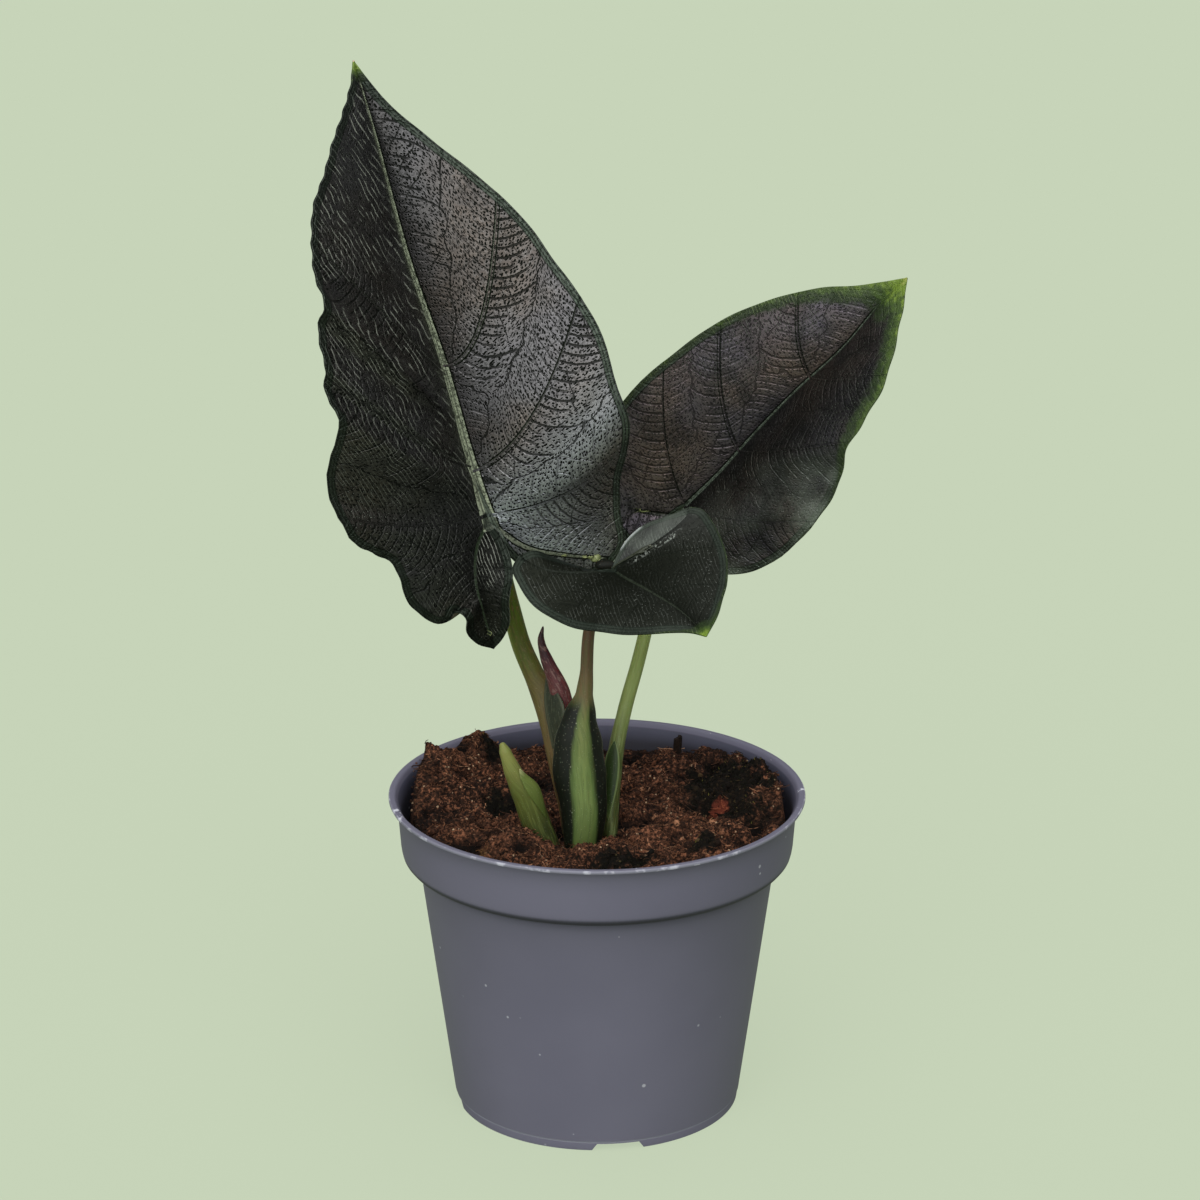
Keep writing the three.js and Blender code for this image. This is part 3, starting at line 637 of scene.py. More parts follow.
def spokes(blade, half):
    """For each row: where it starts, where it ends, its share of the outer edge and its bow."""
    axis = smooth_curve(blade["midrib"])
    outer = smooth_curve(half["outer"])
    rib = smooth_curve(half["rib"])
    inner = smooth_curve(half["inner"])
    lobe_start = half["reach"][-1][1]
    main = row_shares(half["veins"], blade["steps"]["midrib"])
    lobe = np.linspace(0, 1, blade["steps"]["lobe"] + 1)[1:]
    outer_share = np.concatenate([between(half["reach"], main), lobe_start + (1 - lobe_start) * lobe])
    starts = np.vstack([axis(main), rib(lobe), rib(1 - lobe)])
    ends = np.vstack([outer(outer_share), inner(lobe)])
    last_sweep = half["sweep"][-1][1]
    bow = np.concatenate([between(half["sweep"], main), last_sweep * (1 - lobe), 0 * lobe])
    share = np.concatenate([outer_share, 1 + lobe])
    return main, starts, ends, share, bow, unit(axis(1.0) - axis(0.0))


def half_surface(blade, half):
    """The half's middle surface as a grid of places, and the rows that are side veins."""
    main, starts, ends, share, bow, rootward = spokes(blade, half)
    s = crowded_ends(blade["steps"]["across"], 0.72)[None, :, None]
    span = (ends - starts)[:, None, :]
    width = np.linalg.norm(span, axis=-1, keepdims=True)
    lift = np.cross(span, rootward)
    lift = unit(lift * np.where(lift @ FRONT < 0, -1, 1)[..., None])
    waves, height = half["wave"]
    ripple = (np.sin(2 * np.pi * waves * np.minimum(share, 1)) * height * MM)[:, None, None]
    rise = half["cup"] * width * 4 * s * (1 - s) + ripple * s**3 * np.minimum(1, width / (12 * MM))
    bowed = rootward * bow[:, None, None] * width * 2 * s * (1 - s)
    place = starts[:, None, :] + span * s + bowed + lift * rise
    vein_rows = [int(np.argmin(np.abs(main - vein))) for vein in half["veins"]]
    return place, share, vein_rows, len(main)


def project(place, line):
    """Least distance from each place to a line of points, and how far along the line that is."""
    flat = place.reshape(-1, 1, 3)
    start, step = line[:-1], np.diff(line, axis=0)
    length = np.linalg.norm(step, axis=1)
    share = np.maximum(np.sum((flat - start) * step, axis=-1) / length**2, 0)
    share[:, :-1] = np.minimum(share[:, :-1], 1)
    away = np.linalg.norm(flat - start - share[..., None] * step, axis=-1)
    best = np.argmin(away, axis=1)
    row = np.arange(len(flat))
    along = np.concatenate([[0], np.cumsum(length)])[best] + share[row, best] * length[best]
    return away[row, best].reshape(place.shape[:2]) / MM, along.reshape(place.shape[:2]) / MM


def veins_of(blade, half, place, vein_rows, main_count):
    """The half's veins in order: midrib, side veins and lobe rib. Each gives its distance, the way
    along it, its half width there and, per row, on which side of it the row lies."""
    fine = np.linspace(0, 1, 90)
    rows = np.arange(len(place))
    lobe = (len(place) - main_count) // 2
    veins = []

    def add(line, widths, side):
        away, along = project(place, line)
        share = along / (np.linalg.norm(np.diff(line, axis=0), axis=1).sum() / MM)
        veins.append((away, along, np.interp(share, np.linspace(0, 1, len(widths)), widths), side))

    tip_to_root = [between(blade["midrib_width"], u) for u in fine]
    add(smooth_curve(blade["midrib"])(fine), tip_to_root, np.full(len(rows), half["side"]))
    for row in vein_rows:
        strip = place[row]
        add(strip, blade["side_vein_width"], np.where(rows < row, -1, 1))
    add(smooth_curve(half["rib"])(fine), blade["rib_width"], np.where(rows < main_count + lobe, -1, 1))
    return veins


NO_SHEEN_PATCH = [(0, 0, 0), (1, 0, 0)]


def painted_table(table, place, share):
    """A value from rows of [share of the edge, near the midrib, near the edge]."""
    inner, outer = (between(table, share, k)[:, None] for k in (1, 2))
    across = np.linspace(0, 1, place.shape[1])[None, :]
    return inner + (outer - inner) * across**2


def paint_half(blade, half, place, share, vein_rows, main_count):
    """Painted values of one half, and its flat map: the way along the nearest vein and away from it."""
    veins = veins_of(blade, half, place, vein_rows, main_count)
    away = np.array([vein[0] for vein in veins])
    ratio = np.array([vein[0] / vein[2] for vein in veins])
    order = np.argsort(away, axis=0)
    near = np.take_along_axis(away, order[:2], axis=0)
    sign = np.where(order[0] < order[1], 1, -1)
    fine = np.linspace(0, 1, 160)
    outer = smooth_curve(half["outer"])(np.linspace(0, 1, 260))
    border = np.vstack([outer, smooth_curve(half["inner"])(fine)[1:]])
    edge, _ = project(place, border)
    green_width = between(half["green_edge"], np.minimum(share, 1))[:, None]
    tip = np.linalg.norm(place - np.array(blade["midrib"][0]) * MM, axis=-1) / MM
    rim = np.clip(1 - edge / np.maximum(green_width, 0.1), 0, 1) * np.clip(green_width / 0.6, 0, 1)
    rim *= 0.35 + 0.65 * np.clip(green_width / 8, 0, 1)
    borders = np.take_along_axis(away - away / ratio, ratio.argmin(axis=0)[None], axis=0)[0]
    painted = {
        "vein": np.minimum(ratio.min(axis=0), 8),
        "vein_mm": np.minimum(near[0], 20),
        "middle_mm": np.clip((near[1] - near[0]) * sign, -20, 20),
        "edge_mm": np.minimum(edge, 30),
        "green": np.maximum(rim, np.clip(1.5 * (1 - tip / blade["tip_length"]), 0, 1.5)),
        # The next three values are painted light: painted shade and highlight, pale painted glints, and a
        # grey painted sheen.
        "painted_sheen": painted_table(half["painted_sheen"], place, share),
        "painted_glint": painted_table(half["painted_glint"], place, share),
        "painted_sheen_patch": painted_table(half.get("painted_sheen_patch", NO_SHEEN_PATCH), place, share),
        "midrib": np.minimum(ratio[0], 8),
        "border": np.clip(borders, -5, 5),
    }
    flat_map = np.array([
        np.stack([along + 61 * i + 29 * side[:, None], distance * side[:, None]], axis=-1)
        for i, (distance, along, _, side) in enumerate(veins)
    ])
    return painted, away, flat_map


def relief(place, painted, outward, depth):
    """Sinks the veins and swells the pillows between them, with a low cord in each vein."""
    pillow = 1 - np.exp(-((painted["vein_mm"] / PILLOW_REACH) ** 2))
    cord = np.exp(-((painted["vein"] / 0.9) ** 2))
    fade = np.clip(painted["edge_mm"] / 4, 0, 1)
    lift = (VEIN_GROOVE * (pillow - 1) + CORD_RISE * cord) * fade * depth * MM
    return place + outward * lift[..., None]


def grid_normals(place):
    down = np.gradient(place, axis=0)
    side = np.gradient(place, axis=1)
    normal = unit(np.cross(side, down))
    return normal * np.sign(np.sum(normal @ FRONT))


# %% [markdown]
# The two halves are joined at the midrib and given their thickness with Solidify. The new lower face
# gets a material of its own, because the underside of such a leaf is paler and its ribs stand out:
# those are raised by moving the lower points away from the sheet along the veins.

# %% Building a leaf


def half_piece(name, blade, half):
    place, share, vein_rows, main_count = half_surface(blade, half)
    painted, away, flat_map = paint_half(blade, half, place, share, vein_rows, main_count)
    place = relief(place, painted, grid_normals(place), blade["relief"])
    piece = shaped_grid(name, place, painted)
    map_faces(piece, place.shape, away, flat_map)
    normal = Vector()
    for face in piece.data.polygons:
        normal += face.normal * face.area
    if normal.y > 0:
        edit(piece, lambda: bpy.ops.mesh.flip_normals())
    return piece


def map_faces(piece, shape, away, flat_map):
    """Gives each face the flat map of the vein that is nearest to the whole face."""
    corner = np.empty(len(piece.data.loops), int)
    piece.data.loops.foreach_get("vertex_index", corner)
    row, column = GRID_PLACES[shape[:2]]
    row, column = row[corner], column[corner]
    faces = np.repeat(np.arange(len(piece.data.polygons)), 4)
    sums = np.array([np.bincount(faces, weights=one[row, column]) for one in away])
    choice = np.argmin(sums, axis=0)[faces]
    lay_map(piece, "vein_map", flat_map[choice, row, column])


def make_blade(name):
    blade = BLADES[name]
    leaf = half_piece(name + "_leaf", blade, blade["left"])
    other = half_piece(name + "_other", blade, blade["right"])
    choose(leaf, other)
    bpy.ops.object.join()
    edit(leaf, merge_doubles)
    top_count = len(leaf.data.vertices)
    for _ in ("top", "underside"):
        leaf.data.materials.append(None)
    underside = {"material_offset": 1, "material_offset_rim": 0, "use_even_offset": False}
    apply_modifier(leaf, "SOLIDIFY", thickness=BLADE_THICKNESS * MM, offset=0, **underside)
    raise_ribs(leaf, blade, top_count)
    bpy.ops.object.shade_smooth()
    print(leaf.name, triangles_of(leaf), "triangles")
    return leaf


def raise_ribs(leaf, blade, top_count):
    """Moves the lower face's points out along the veins."""
    places = points_of(leaf)
    ratio = np.empty(len(places), np.float32)
    leaf.data.attributes["vein"].data.foreach_get("value", ratio)
    normals = np.empty(len(places) * 3)
    leaf.data.vertices.foreach_get("normal", normals)
    edge = np.empty(len(places), np.float32)
    leaf.data.attributes["edge_mm"].data.foreach_get("value", edge)
    lower = (np.arange(len(places)) >= top_count) * np.clip(edge / 3, 0, 1)
    rise = blade["rib_rise"] * 0.55 * np.exp(-((ratio / 1.3) ** 2)) * lower * MM
    move_points(leaf, places + normals.reshape(-1, 3) * rise[:, None])


leaves = {name: make_blade(name) for name in BLADES}

# %% [markdown]
# Up close, the upper face is a mosaic: silver-grey pillows a millimetre across, dark pits and broken
# dark lines between them. Painting that by hand would need a picture, and a picture would smear when
# seen closer. Cell noise in the leaf's own millimetres makes it instead: stretched cells give the
# rungs between the side veins, and small round cells give the pits.

# %% The pebbled skin as a node group


def new_group(name, inputs, outputs):
    """A node group; inputs gives each input's starting value, or None for a vector."""
    group = bpy.data.node_groups.new(name, "ShaderNodeTree")
    for label, value in inputs.items():
        kind = "NodeSocketVector" if value is None else "NodeSocketFloat"
        socket = group.interface.new_socket(label, in_out="INPUT", socket_type=kind)
        if value is not None:
            socket.default_value = value
    for label in outputs:
        group.interface.new_socket(label, in_out="OUTPUT", socket_type="NodeSocketFloat")
    start = group.nodes.new("NodeGroupInput")
    end = group.nodes.new("NodeGroupOutput")
    return group, start.outputs, end.inputs


def use_group(tree, group, sockets):
    """Places a group node and gives all its outputs."""
    made = tree.nodes.new("ShaderNodeGroup")
    made.node_tree = group
    link_or_set(made.inputs, sockets)
    return made.outputs


def make_pebbles():
    inputs = {label: 0.0 for label in ("Along", "Away", "Middle", "Midrib")}
    inputs.update({"Place": None, "Cell": 1.0, "Rung": 2.6})
    outputs = ("Pits", "Lines", "Height", "Pillow", "Glints", "GlintDots")
    group, given, result = new_group("pebbled_skin", inputs, outputs)

    def noise(scale, detail):
        return cloudy(given["Place"], scale, detail)

    def swing(value, reach):
        return times(minus(value, 0.5), reach)

    def cells(feature, output="Distance"):
        sockets = {"Vector": flat, "Scale": 1.0, "Randomness": 0.75}
        settings = {"feature": feature, "voronoi_dimensions": "2D"}
        return place_node(group, "TexVoronoi", sockets, output, **settings)

    away = maths("ABSOLUTE", given["Away"])
    below = mask(given["Away"], -0.1, 0.1)
    far = mask(given["Midrib"], 3.0, 7.0)
    broad, wide = noise(60.0, 1.0), noise(150.0, 1.0)
    fine, other = noise(900.0, 1.0), noise(700.0, 1.0)
    slant = minus(0.3, times(below, 0.25))
    bend = plus(slant, times(away, 0.034))
    lean = times(away, bend)
    ladder = plus(given["Along"], times(lean, -1.0), swing(broad, 3.0), swing(other, 0.45))
    aligned = plus(ladder, swing(wide, 2.5), swing(other, 0.9), swing(fine, 0.8))

    def rungs(run, spacing, width, reach, drawn):
        """Dark lines that leave the vein at a slant, each with a length and strength of its own."""
        steps = maths("DIVIDE", run, spacing)
        number = maths("ROUND", steps)
        off = times(gap(steps, number), spacing)
        chance = place_node(group, "TexWhiteNoise", {"W": number}, "Value", noise_dimensions="1D")
        length = plus(4.5, times(chance, reach))
        shown = mask(away, length, times(length, 0.8))
        strength = times(shown, mask(chance, 1 - drawn, 1.3 - drawn))
        strength = times(strength, maths("MULTIPLY_ADD", below, 0.5, 0.5))
        strength = times(strength, maths("MULTIPLY_ADD", far, 0.7, 0.3))
        return times(mask(off, width, width * 0.4), strength)

    main = rungs(ladder, given["Rung"], 0.44, 13.0, 1.1)
    crossing = plus(given["Along"], times(away, 1.1), swing(wide, 5.0), swing(other, 0.6))
    branches = rungs(crossing, times(given["Rung"], 1.45), 0.3, 9.0, 0.6)
    branches = times(branches, mask(away, 2.2, 3.2))
    centre = plus(given["Middle"], swing(wide, 10.0), swing(other, 1.6))
    collecting = mask(maths("ABSOLUTE", centre), 0.5, 0.2)
    collecting = times(collecting, mask(away, 1.5, 2.5))
    lines = most(main, branches, collecting)

    rise = plus(given["Away"], swing(other, 0.6))
    in_cells = [maths("DIVIDE", value, given["Cell"]) for value in (aligned, rise)]
    flat = place_node(group, "CombineXYZ", dict(enumerate(in_cells)))
    size = plus(0.18, times(noise(330.0, 0.0), 0.13))
    pits = mask(cells("F1"), times(size, 1.35), times(size, 0.8))
    pillow = place_node(group, "SeparateColor", {0: cells("F1", "Color")}, "Red")
    net = times(mask(cells("DISTANCE_TO_EDGE"), 0.1, 0.03), mask(pillow, 0.3, 0.7))
    grain = mask(noise(1500.0, 2.0), 0.5, 0.36)
    sunk = most(times(pits, 0.8), lines)
    # The pale lines and dots drawn here are painted glints: highlights that stand in for light caught on the
    # ridges.
    spot = split(given["Place"])
    across = times(maths("MULTIPLY_ADD", spot["Z"], 0.55, spot["X"]), 1 / MM)
    drift = plus(across, swing(wide, 1.6), swing(broad, 3.0), swing(fine, 0.2))
    steps = maths("DIVIDE", drift, 1.15)
    off = gap(steps, maths("ROUND", steps))
    glint_lines = times(mask(off, 0.14, 0.03), mask(noise(340.0, 4.0), 0.38, 0.52))
    glint_dots = times(mask(cells("F1"), 0.16, 0.08), mask(pillow, 0.45, 0.47))
    link_or_set(result, {
        "Pits": most(pits, times(grain, 0.5)),
        "Lines": most(lines, times(net, 0.5)),
        "Height": minus(1.0, sunk),
        "Glints": times(glint_lines, mask(noise(95.0, 3.0), 0.38, 0.54)),
        "GlintDots": times(glint_dots, mask(noise(120.0, 2.0), 0.38, 0.55)),
        "Pillow": pillow,
    })
    return group


pebbled_skin = make_pebbles()


def pebbles(tree, cell, rung):
    """The skin's group in a leaf material, fed from the vein map and the painted values."""
    surface = place_node(tree, "UVMap", uv_map="vein_map")
    on_map, where = split(surface), object_place(tree)
    middle, midrib = painted_value(tree, "middle_mm"), painted_value(tree, "midrib")
    sockets = {"Along": on_map["X"], "Away": on_map["Y"], "Middle": middle, "Midrib": midrib}
    return use_group(tree, pebbled_skin, {**sockets, "Place": where, "Cell": cell, "Rung": rung}), where


# %% [markdown]
# A dark velvet leaf is nearly black, yet its pillows shine silver where they face the bright screen. Part of
# that is a reflection: the pillows get a partly metallic surface whose grey sets how much it mirrors, and
# the pits get almost none. The rest is painted light, steered by two painted values: one paints the colour
# from dark painted shade through the silver to a pale painted highlight, and the other says how thick pale
# painted glints stand, lines and dots that stand in for light caught on the ridges.

# %% Silver, pits and painted glints of the leaf
LEAF_LOOKS = {
    "blade_large": {
        "silver": ((96, 89, 83), (100, 99, 101), (128, 128, 128)), "mottle": 0.2, "cell": 1.0, "rung": 2.7,
        "cords": ((30, 42, 25), (104, 110, 94)), "midrib": (142, 150, 128), "shine": 0.88, "gloss": 0.25,
        "rough_base": 0.33, "glint_tone": (122, 126, 116), "depth": 1.0, "point": (196, 168, 150),
    },
    "blade_right": {
        "silver": ((104, 90, 84), (88, 84, 94), (116, 110, 108)), "mottle": 0.5, "cell": 1.0, "rung": 2.6,
        "cords": ((24, 31, 21), (66, 66, 60)), "midrib": (84, 94, 82), "shine": 0.85, "gloss": 0.25,
        "rough_base": 0.36, "glint_tone": (96, 102, 92), "depth": 0.75, "point": (130, 140, 70),
    },
    "blade_front": {
        "silver": ((60, 60, 57), (64, 65, 64), (78, 79, 78)), "mottle": 0.3, "cell": 1.3, "rung": 4.2,
        "cords": ((30, 34, 28), (52, 56, 50)), "midrib": (40, 46, 36), "shine": 0.5, "gloss": 0.1,
        "rough_base": 0.42, "glint_tone": (96, 100, 94), "depth": 0.3, "point": (104, 128, 44),
    },
}
# The unlit tone is painted shade and the glare tone a painted highlight, laid in by the painted sheen.
VELVET = {"unlit": (20, 23, 16), "blotch": (40, 40, 44), "glare": (186, 192, 200), "pit": (15, 18, 14)}


def silver_pillows(where, skin, look):
    """Warm and cool grey patches that differ a little from pillow to pillow, darkened to painted shade where
    the painted sheen is low and lightened to a painted highlight where it is above 1.
    """
    tree = where.id_data
    warm, cool, pale = look["silver"]
    tone = blend_colour(mask(cloudy(where, 34.0, 3.0), 0.35, 0.65), warm, cool)
    tone = blend_colour(times(skin["Pillow"], 0.3), tone, pale)
    blotch = times(mask(cloudy(where, 110.0, 4.0), 0.5, 0.36), look["mottle"])
    tone = blend_colour(blotch, tone, VELVET["blotch"])
    # The painted sheen darkens the colour to painted shade where it is low and lightens it to a painted
    # glare above 1.
    painted_sheen = painted_value(tree, "painted_sheen")
    tone = blend_colour(mask(painted_sheen, 0.0, 1.0), VELVET["unlit"], tone)
    return blend_colour(mask(painted_sheen, 1.0, 2.0), tone, VELVET["glare"])


def glint_lines_and_dots(tree, skin):
    """1 on a pale painted glint line where glints are painted, and less on the painted glint dots among
    them.
    """
    painted_glint = painted_value(tree, "painted_glint")
    glint_dots = times(skin["GlintDots"], mask(painted_glint, 0.02, 0.2), 0.55)
    glint_marks = most(times(skin["Glints"], painted_glint), glint_dots)
    return maths("MINIMUM", glint_marks, 1.0)


print("leaf looks:", {name: look["silver"][0] for name, look in LEAF_LOOKS.items()})

# %% [markdown]
# Each vein is a raised cord between two dark grooves, and along the edge of a blade run a few fine pale
# lines. Both could be modelled, but a line a fifth of a millimetre wide would need millions of faces.
# The distances to the nearest vein and to the edge are painted on the points, so a soft mask of such a
# distance draws a line of any width that keeps to the vein or the edge.

# %% Veins and edge of the leaf
CORD_TONES = {"groove": (18, 23, 16), "dull": (22, 27, 18)}
EDGE_TONES = {"band": (22, 28, 22), "line": (88, 100, 88)}
EDGE_LINES = (
    {"inwards": 1.7, "half_width": 0.26, "strength": 0.5},
    {"inwards": 0.85, "half_width": 0.3, "strength": 0.55},
    {"inwards": 0.0, "half_width": 0.2, "strength": 0.6},
)


def vein_cords(tree, base, where, look):
    """The grooves and the cord of each vein, worn dull in streaks and down its middle."""
    border, painted_sheen, midrib = (painted_value(tree, label) for label in ("border", "painted_sheen", "midrib"))
    # Grooves show more and cords turn paler where the painted sheen is high: painted light.
    clear = plus(0.25, times(mask(painted_sheen, 0.2, 0.9), look["depth"]))
    groove = times(mask(gap(border, 0.22), 0.38, 0.16), clear)
    base = blend_colour(groove, base, CORD_TONES["groove"])
    tone = blend_colour(mask(painted_sheen, 0.3, 0.9), *look["cords"])
    tone = blend_colour(mask(midrib, 1.1, 1.0), tone, look["midrib"])
    dull = blend_colour(0.72, tone, CORD_TONES["dull"])
    streaked = mask(cloudy(where, 1000.0, 2.0), 0.5, 0.6)
    middle = mask(gap(midrib, 0.45), 0.16, 0.04)
    tone = blend_colour(most(streaked, middle), tone, dull)
    cord = mask(border, 0.08, -0.12)
    return blend_colour(cord, base, tone), cord


def edge_lines(tree, base):
    """A dark band along the edge with fine pale lines in it."""
    edge, painted_sheen = painted_value(tree, "edge_mm"), painted_value(tree, "painted_sheen")
    base = blend_colour(times(mask(edge, 2.5, 2.1), 0.85), base, EDGE_TONES["band"])
    # The pale edge lines fade where the painted sheen is low, in painted shade.
    shown = plus(0.2, times(mask(painted_sheen, 0.3, 1.0), 0.8))
    for line in EDGE_LINES:
        width = line["half_width"]
        drawn = mask(gap(edge, line["inwards"]), width * 1.5, width * 0.5)
        drawn = times(drawn, line["strength"], shown)
        base = blend_colour(drawn, base, EDGE_TONES["line"])
    return base


# %% [markdown]
# The right leaf ends in a green tip, and all of them turn green in a hair's breadth along the edge. The
# painted value green says how far a point has turned, and three steps of colour make the change uneven, as
# it is in the leaf. A grey sheen is painted into the colour in cloudy patches on the folded lobes and near
# the right leaf's lower edge, as a painted reflection. With these the upper face is complete.

# %% Green tip and painted sheen of the leaf
SHEEN_PATCH_TONE = (122, 130, 120)
GREEN_STEPS = (((0.02, 0.4), (34, 46, 24)), ((0.45, 0.75), (58, 76, 34)), ((0.76, 1.1), (100, 122, 46)))
GREEN_GLINTS = (120, 134, 92)


def sheen_patch_and_green(tree, base, where, glint_marks, look):
    # A grey sheen in cloudy patches, painted where the painted value says: a painted reflection.
    cloud = mask(cloudy(where, 90.0, 5.0), 0.3, 0.7)
    painted_sheen_patch = times(painted_value(tree, "painted_sheen_patch"), cloud)
    base = blend_colour(painted_sheen_patch, base, SHEEN_PATCH_TONE)
    green = painted_value(tree, "green")
    combed = minus(cloudy(where, 480.0, 3.0), 0.5)
    green = plus(green, times(combed, mask(green, 0.0, 0.4), 0.9))
    for (low, high), tone in GREEN_STEPS:
        base = blend_colour(mask(green, low, high), base, tone)
    # The painted glints turn green near a green edge.
    pale = times(glint_marks, mask(green, 0.1, 0.4), 0.6)
    base = blend_colour(pale, base, GREEN_GLINTS)
    base = blend_colour(mask(green, 1.3, 1.42), base, look["point"])
    return base, painted_sheen_patch, green


def leaf_top(name, look):
    material, tree, shader = new_material(name)
    skin, where = pebbles(tree, look["cell"], look["rung"])
    dimmed = times(most(skin["Pits"], times(skin["Lines"], 0.85)), look["depth"])
    base = blend_colour(dimmed, silver_pillows(where, skin, look), VELVET["pit"])
    glint_marks = glint_lines_and_dots(tree, skin)
    base = blend_colour(glint_marks, base, look["glint_tone"])
    base, cord = vein_cords(tree, base, where, look)
    base = edge_lines(tree, base)
    base, painted_sheen_patch, green = sheen_patch_and_green(tree, base, where, glint_marks, look)
    flesh = most(times(cord, 0.85), mask(green, 0.05, 0.4), glint_marks, times(painted_sheen_patch, 0.7))
    mirror = times(minus(1.0, flesh), look["shine"])
    rough = plus(look["rough_base"], times(dimmed, 0.2))
    feed(shader, Base_Color=base, Metallic=mirror, Roughness=rough, Specular_IOR_Level=look["gloss"])
    feed(shader, Normal=bumped(skin["Height"], 0.25 * look["depth"] * MM, 1.0))
    return material


top_skins = {name: leaf_top(name + "_top", look) for name, look in LEAF_LOOKS.items()}
print("upper faces:", [material.name for material in top_skins.values()])

# %% [markdown]
# The underside is dull: no silver and no velvet, a grey green with paler raised veins. The front leaf's is
# darker, because only a sliver of it shows between the other leaves. Where that leaf's lobe is folded over,
# a painted highlight lies along its lip and a row of pale painted glints along the fold. The fold is drawn
# by place as seen from the front, since nothing painted on the leaf tells one side of it from the other.

# %% Undersides and the painted highlights of the fold
UNDERSIDE = {"green": (66, 74, 54), "brown": (76, 66, 58), "line": (104, 112, 78), "edge": (110, 140, 50)}
UNDERSIDE_VEINS = {"pale": (120, 128, 84), "dark": (38, 43, 28)}
FOLD_GLINTS = {"from": (8.2, 9.7), "to": (24.1, 19.8), "tone": (160, 166, 158)}
FOLD_HIGHLIGHT = {"middle": (9.6, 17.2), "reach": 5.0, "tone": (196, 204, 200)}


def leaf_underside(name, vein_tone):
    material, tree, shader = new_material(name)
    skin, where = pebbles(tree, 1.1, 2.8)
    patches = mask(cloudy(where, 40.0, 3.0), 0.3, 0.7)
    base = blend_colour(patches, UNDERSIDE["green"], UNDERSIDE["brown"])
    base = blend_colour(times(skin["Lines"], 0.5), base, UNDERSIDE["line"])
    base = blend_colour(mask(painted_value(tree, "vein"), 1.6, 0.8), base, vein_tone)
    base = blend_colour(mask(painted_value(tree, "green"), 0.05, 0.75), base, UNDERSIDE["edge"])
    raised = most(skin["Lines"], times(skin["Pits"], 0.3))
    feed(shader, Base_Color=base, Roughness=0.5, Normal=bumped(raised, 0.1 * MM, 0.6))
    return material


def front_view_place(where):
    """The way right and the way up as seen from the front, in millimetres from the point looked at."""
    spot = split(where)
    right = times(spot["X"], 1 / MM)
    tilted = times(spot["Y"], math.sin(down) / MM)
    return right, maths("MULTIPLY_ADD", minus(spot["Z"], LOOK_AT.z), math.cos(down) / MM, tilted)


def fold_light(material):
    """The painted highlight on the lip and the row of pale painted glints on the front leaf's fold."""
    tree = material.node_tree
    shader = tree.nodes["Principled BSDF"]
    where = object_place(tree)
    right, up = front_view_place(where)
    start, end = np.array(FOLD_GLINTS["from"]), np.array(FOLD_GLINTS["to"])
    length = float(np.linalg.norm(end - start))
    way = [float(part) for part in (end - start) / length]

    def turned(direction):
        first = times(minus(right, float(start[0])), direction[0])
        return maths("MULTIPLY_ADD", minus(up, float(start[1])), direction[1], first)

    along, off = turned(way), maths("ABSOLUTE", turned((-way[1], way[0])))
    # A row of pale glints along the fold line: painted highlights.
    in_row = times(mask(off, 0.9, 0.2), mask(cloudy(where, 1300.0, 2.0), 0.5, 0.62))
    glints = times(in_row, mask(along, 0, 2), mask(along, length, length - 2))
    repaint(shader, times(glints, 0.6), FOLD_GLINTS["tone"])
    # A painted highlight along the lip, strongest near one place seen from the front.
    far = plus(*(
        maths("POWER", minus(way_there, middle), 2.0)
        for way_there, middle in zip((right, up), FOLD_HIGHLIGHT["middle"])
    ))
    near = mask(far, FOLD_HIGHLIGHT["reach"] ** 2, (FOLD_HIGHLIGHT["reach"] - 2) ** 2)
    lip = times(mask(painted_value(tree, "edge_mm"), 1.6, 0.5), near)
    repaint(shader, times(lip, 0.85), FOLD_HIGHLIGHT["tone"])


fold_light(top_skins["blade_front"])
pale_under = leaf_underside("leaf_underside", UNDERSIDE_VEINS["pale"])
dark_under = leaf_underside("dark_leaf_underside", UNDERSIDE_VEINS["dark"])
for name, leaf in leaves.items():
    leaf.data.materials[0] = top_skins[name]
    leaf.data.materials[1] = dark_under if name == "blade_front" else pale_under
    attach(leaf, "root")
    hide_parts(name)
print("leaf materials:", [[material.name for material in leaf.data.materials] for leaf in leaves.values()])

# %% [markdown]
# A stalk is a tube whose section changes: round at the leaf, and wide below, where it wraps the next
# leaf as a sheath with thin wings. A bevelled curve would keep the section round, so the stalk is the
# same moved grid as the leaf, rolled round its path. The path and the widths are the CAD model's.

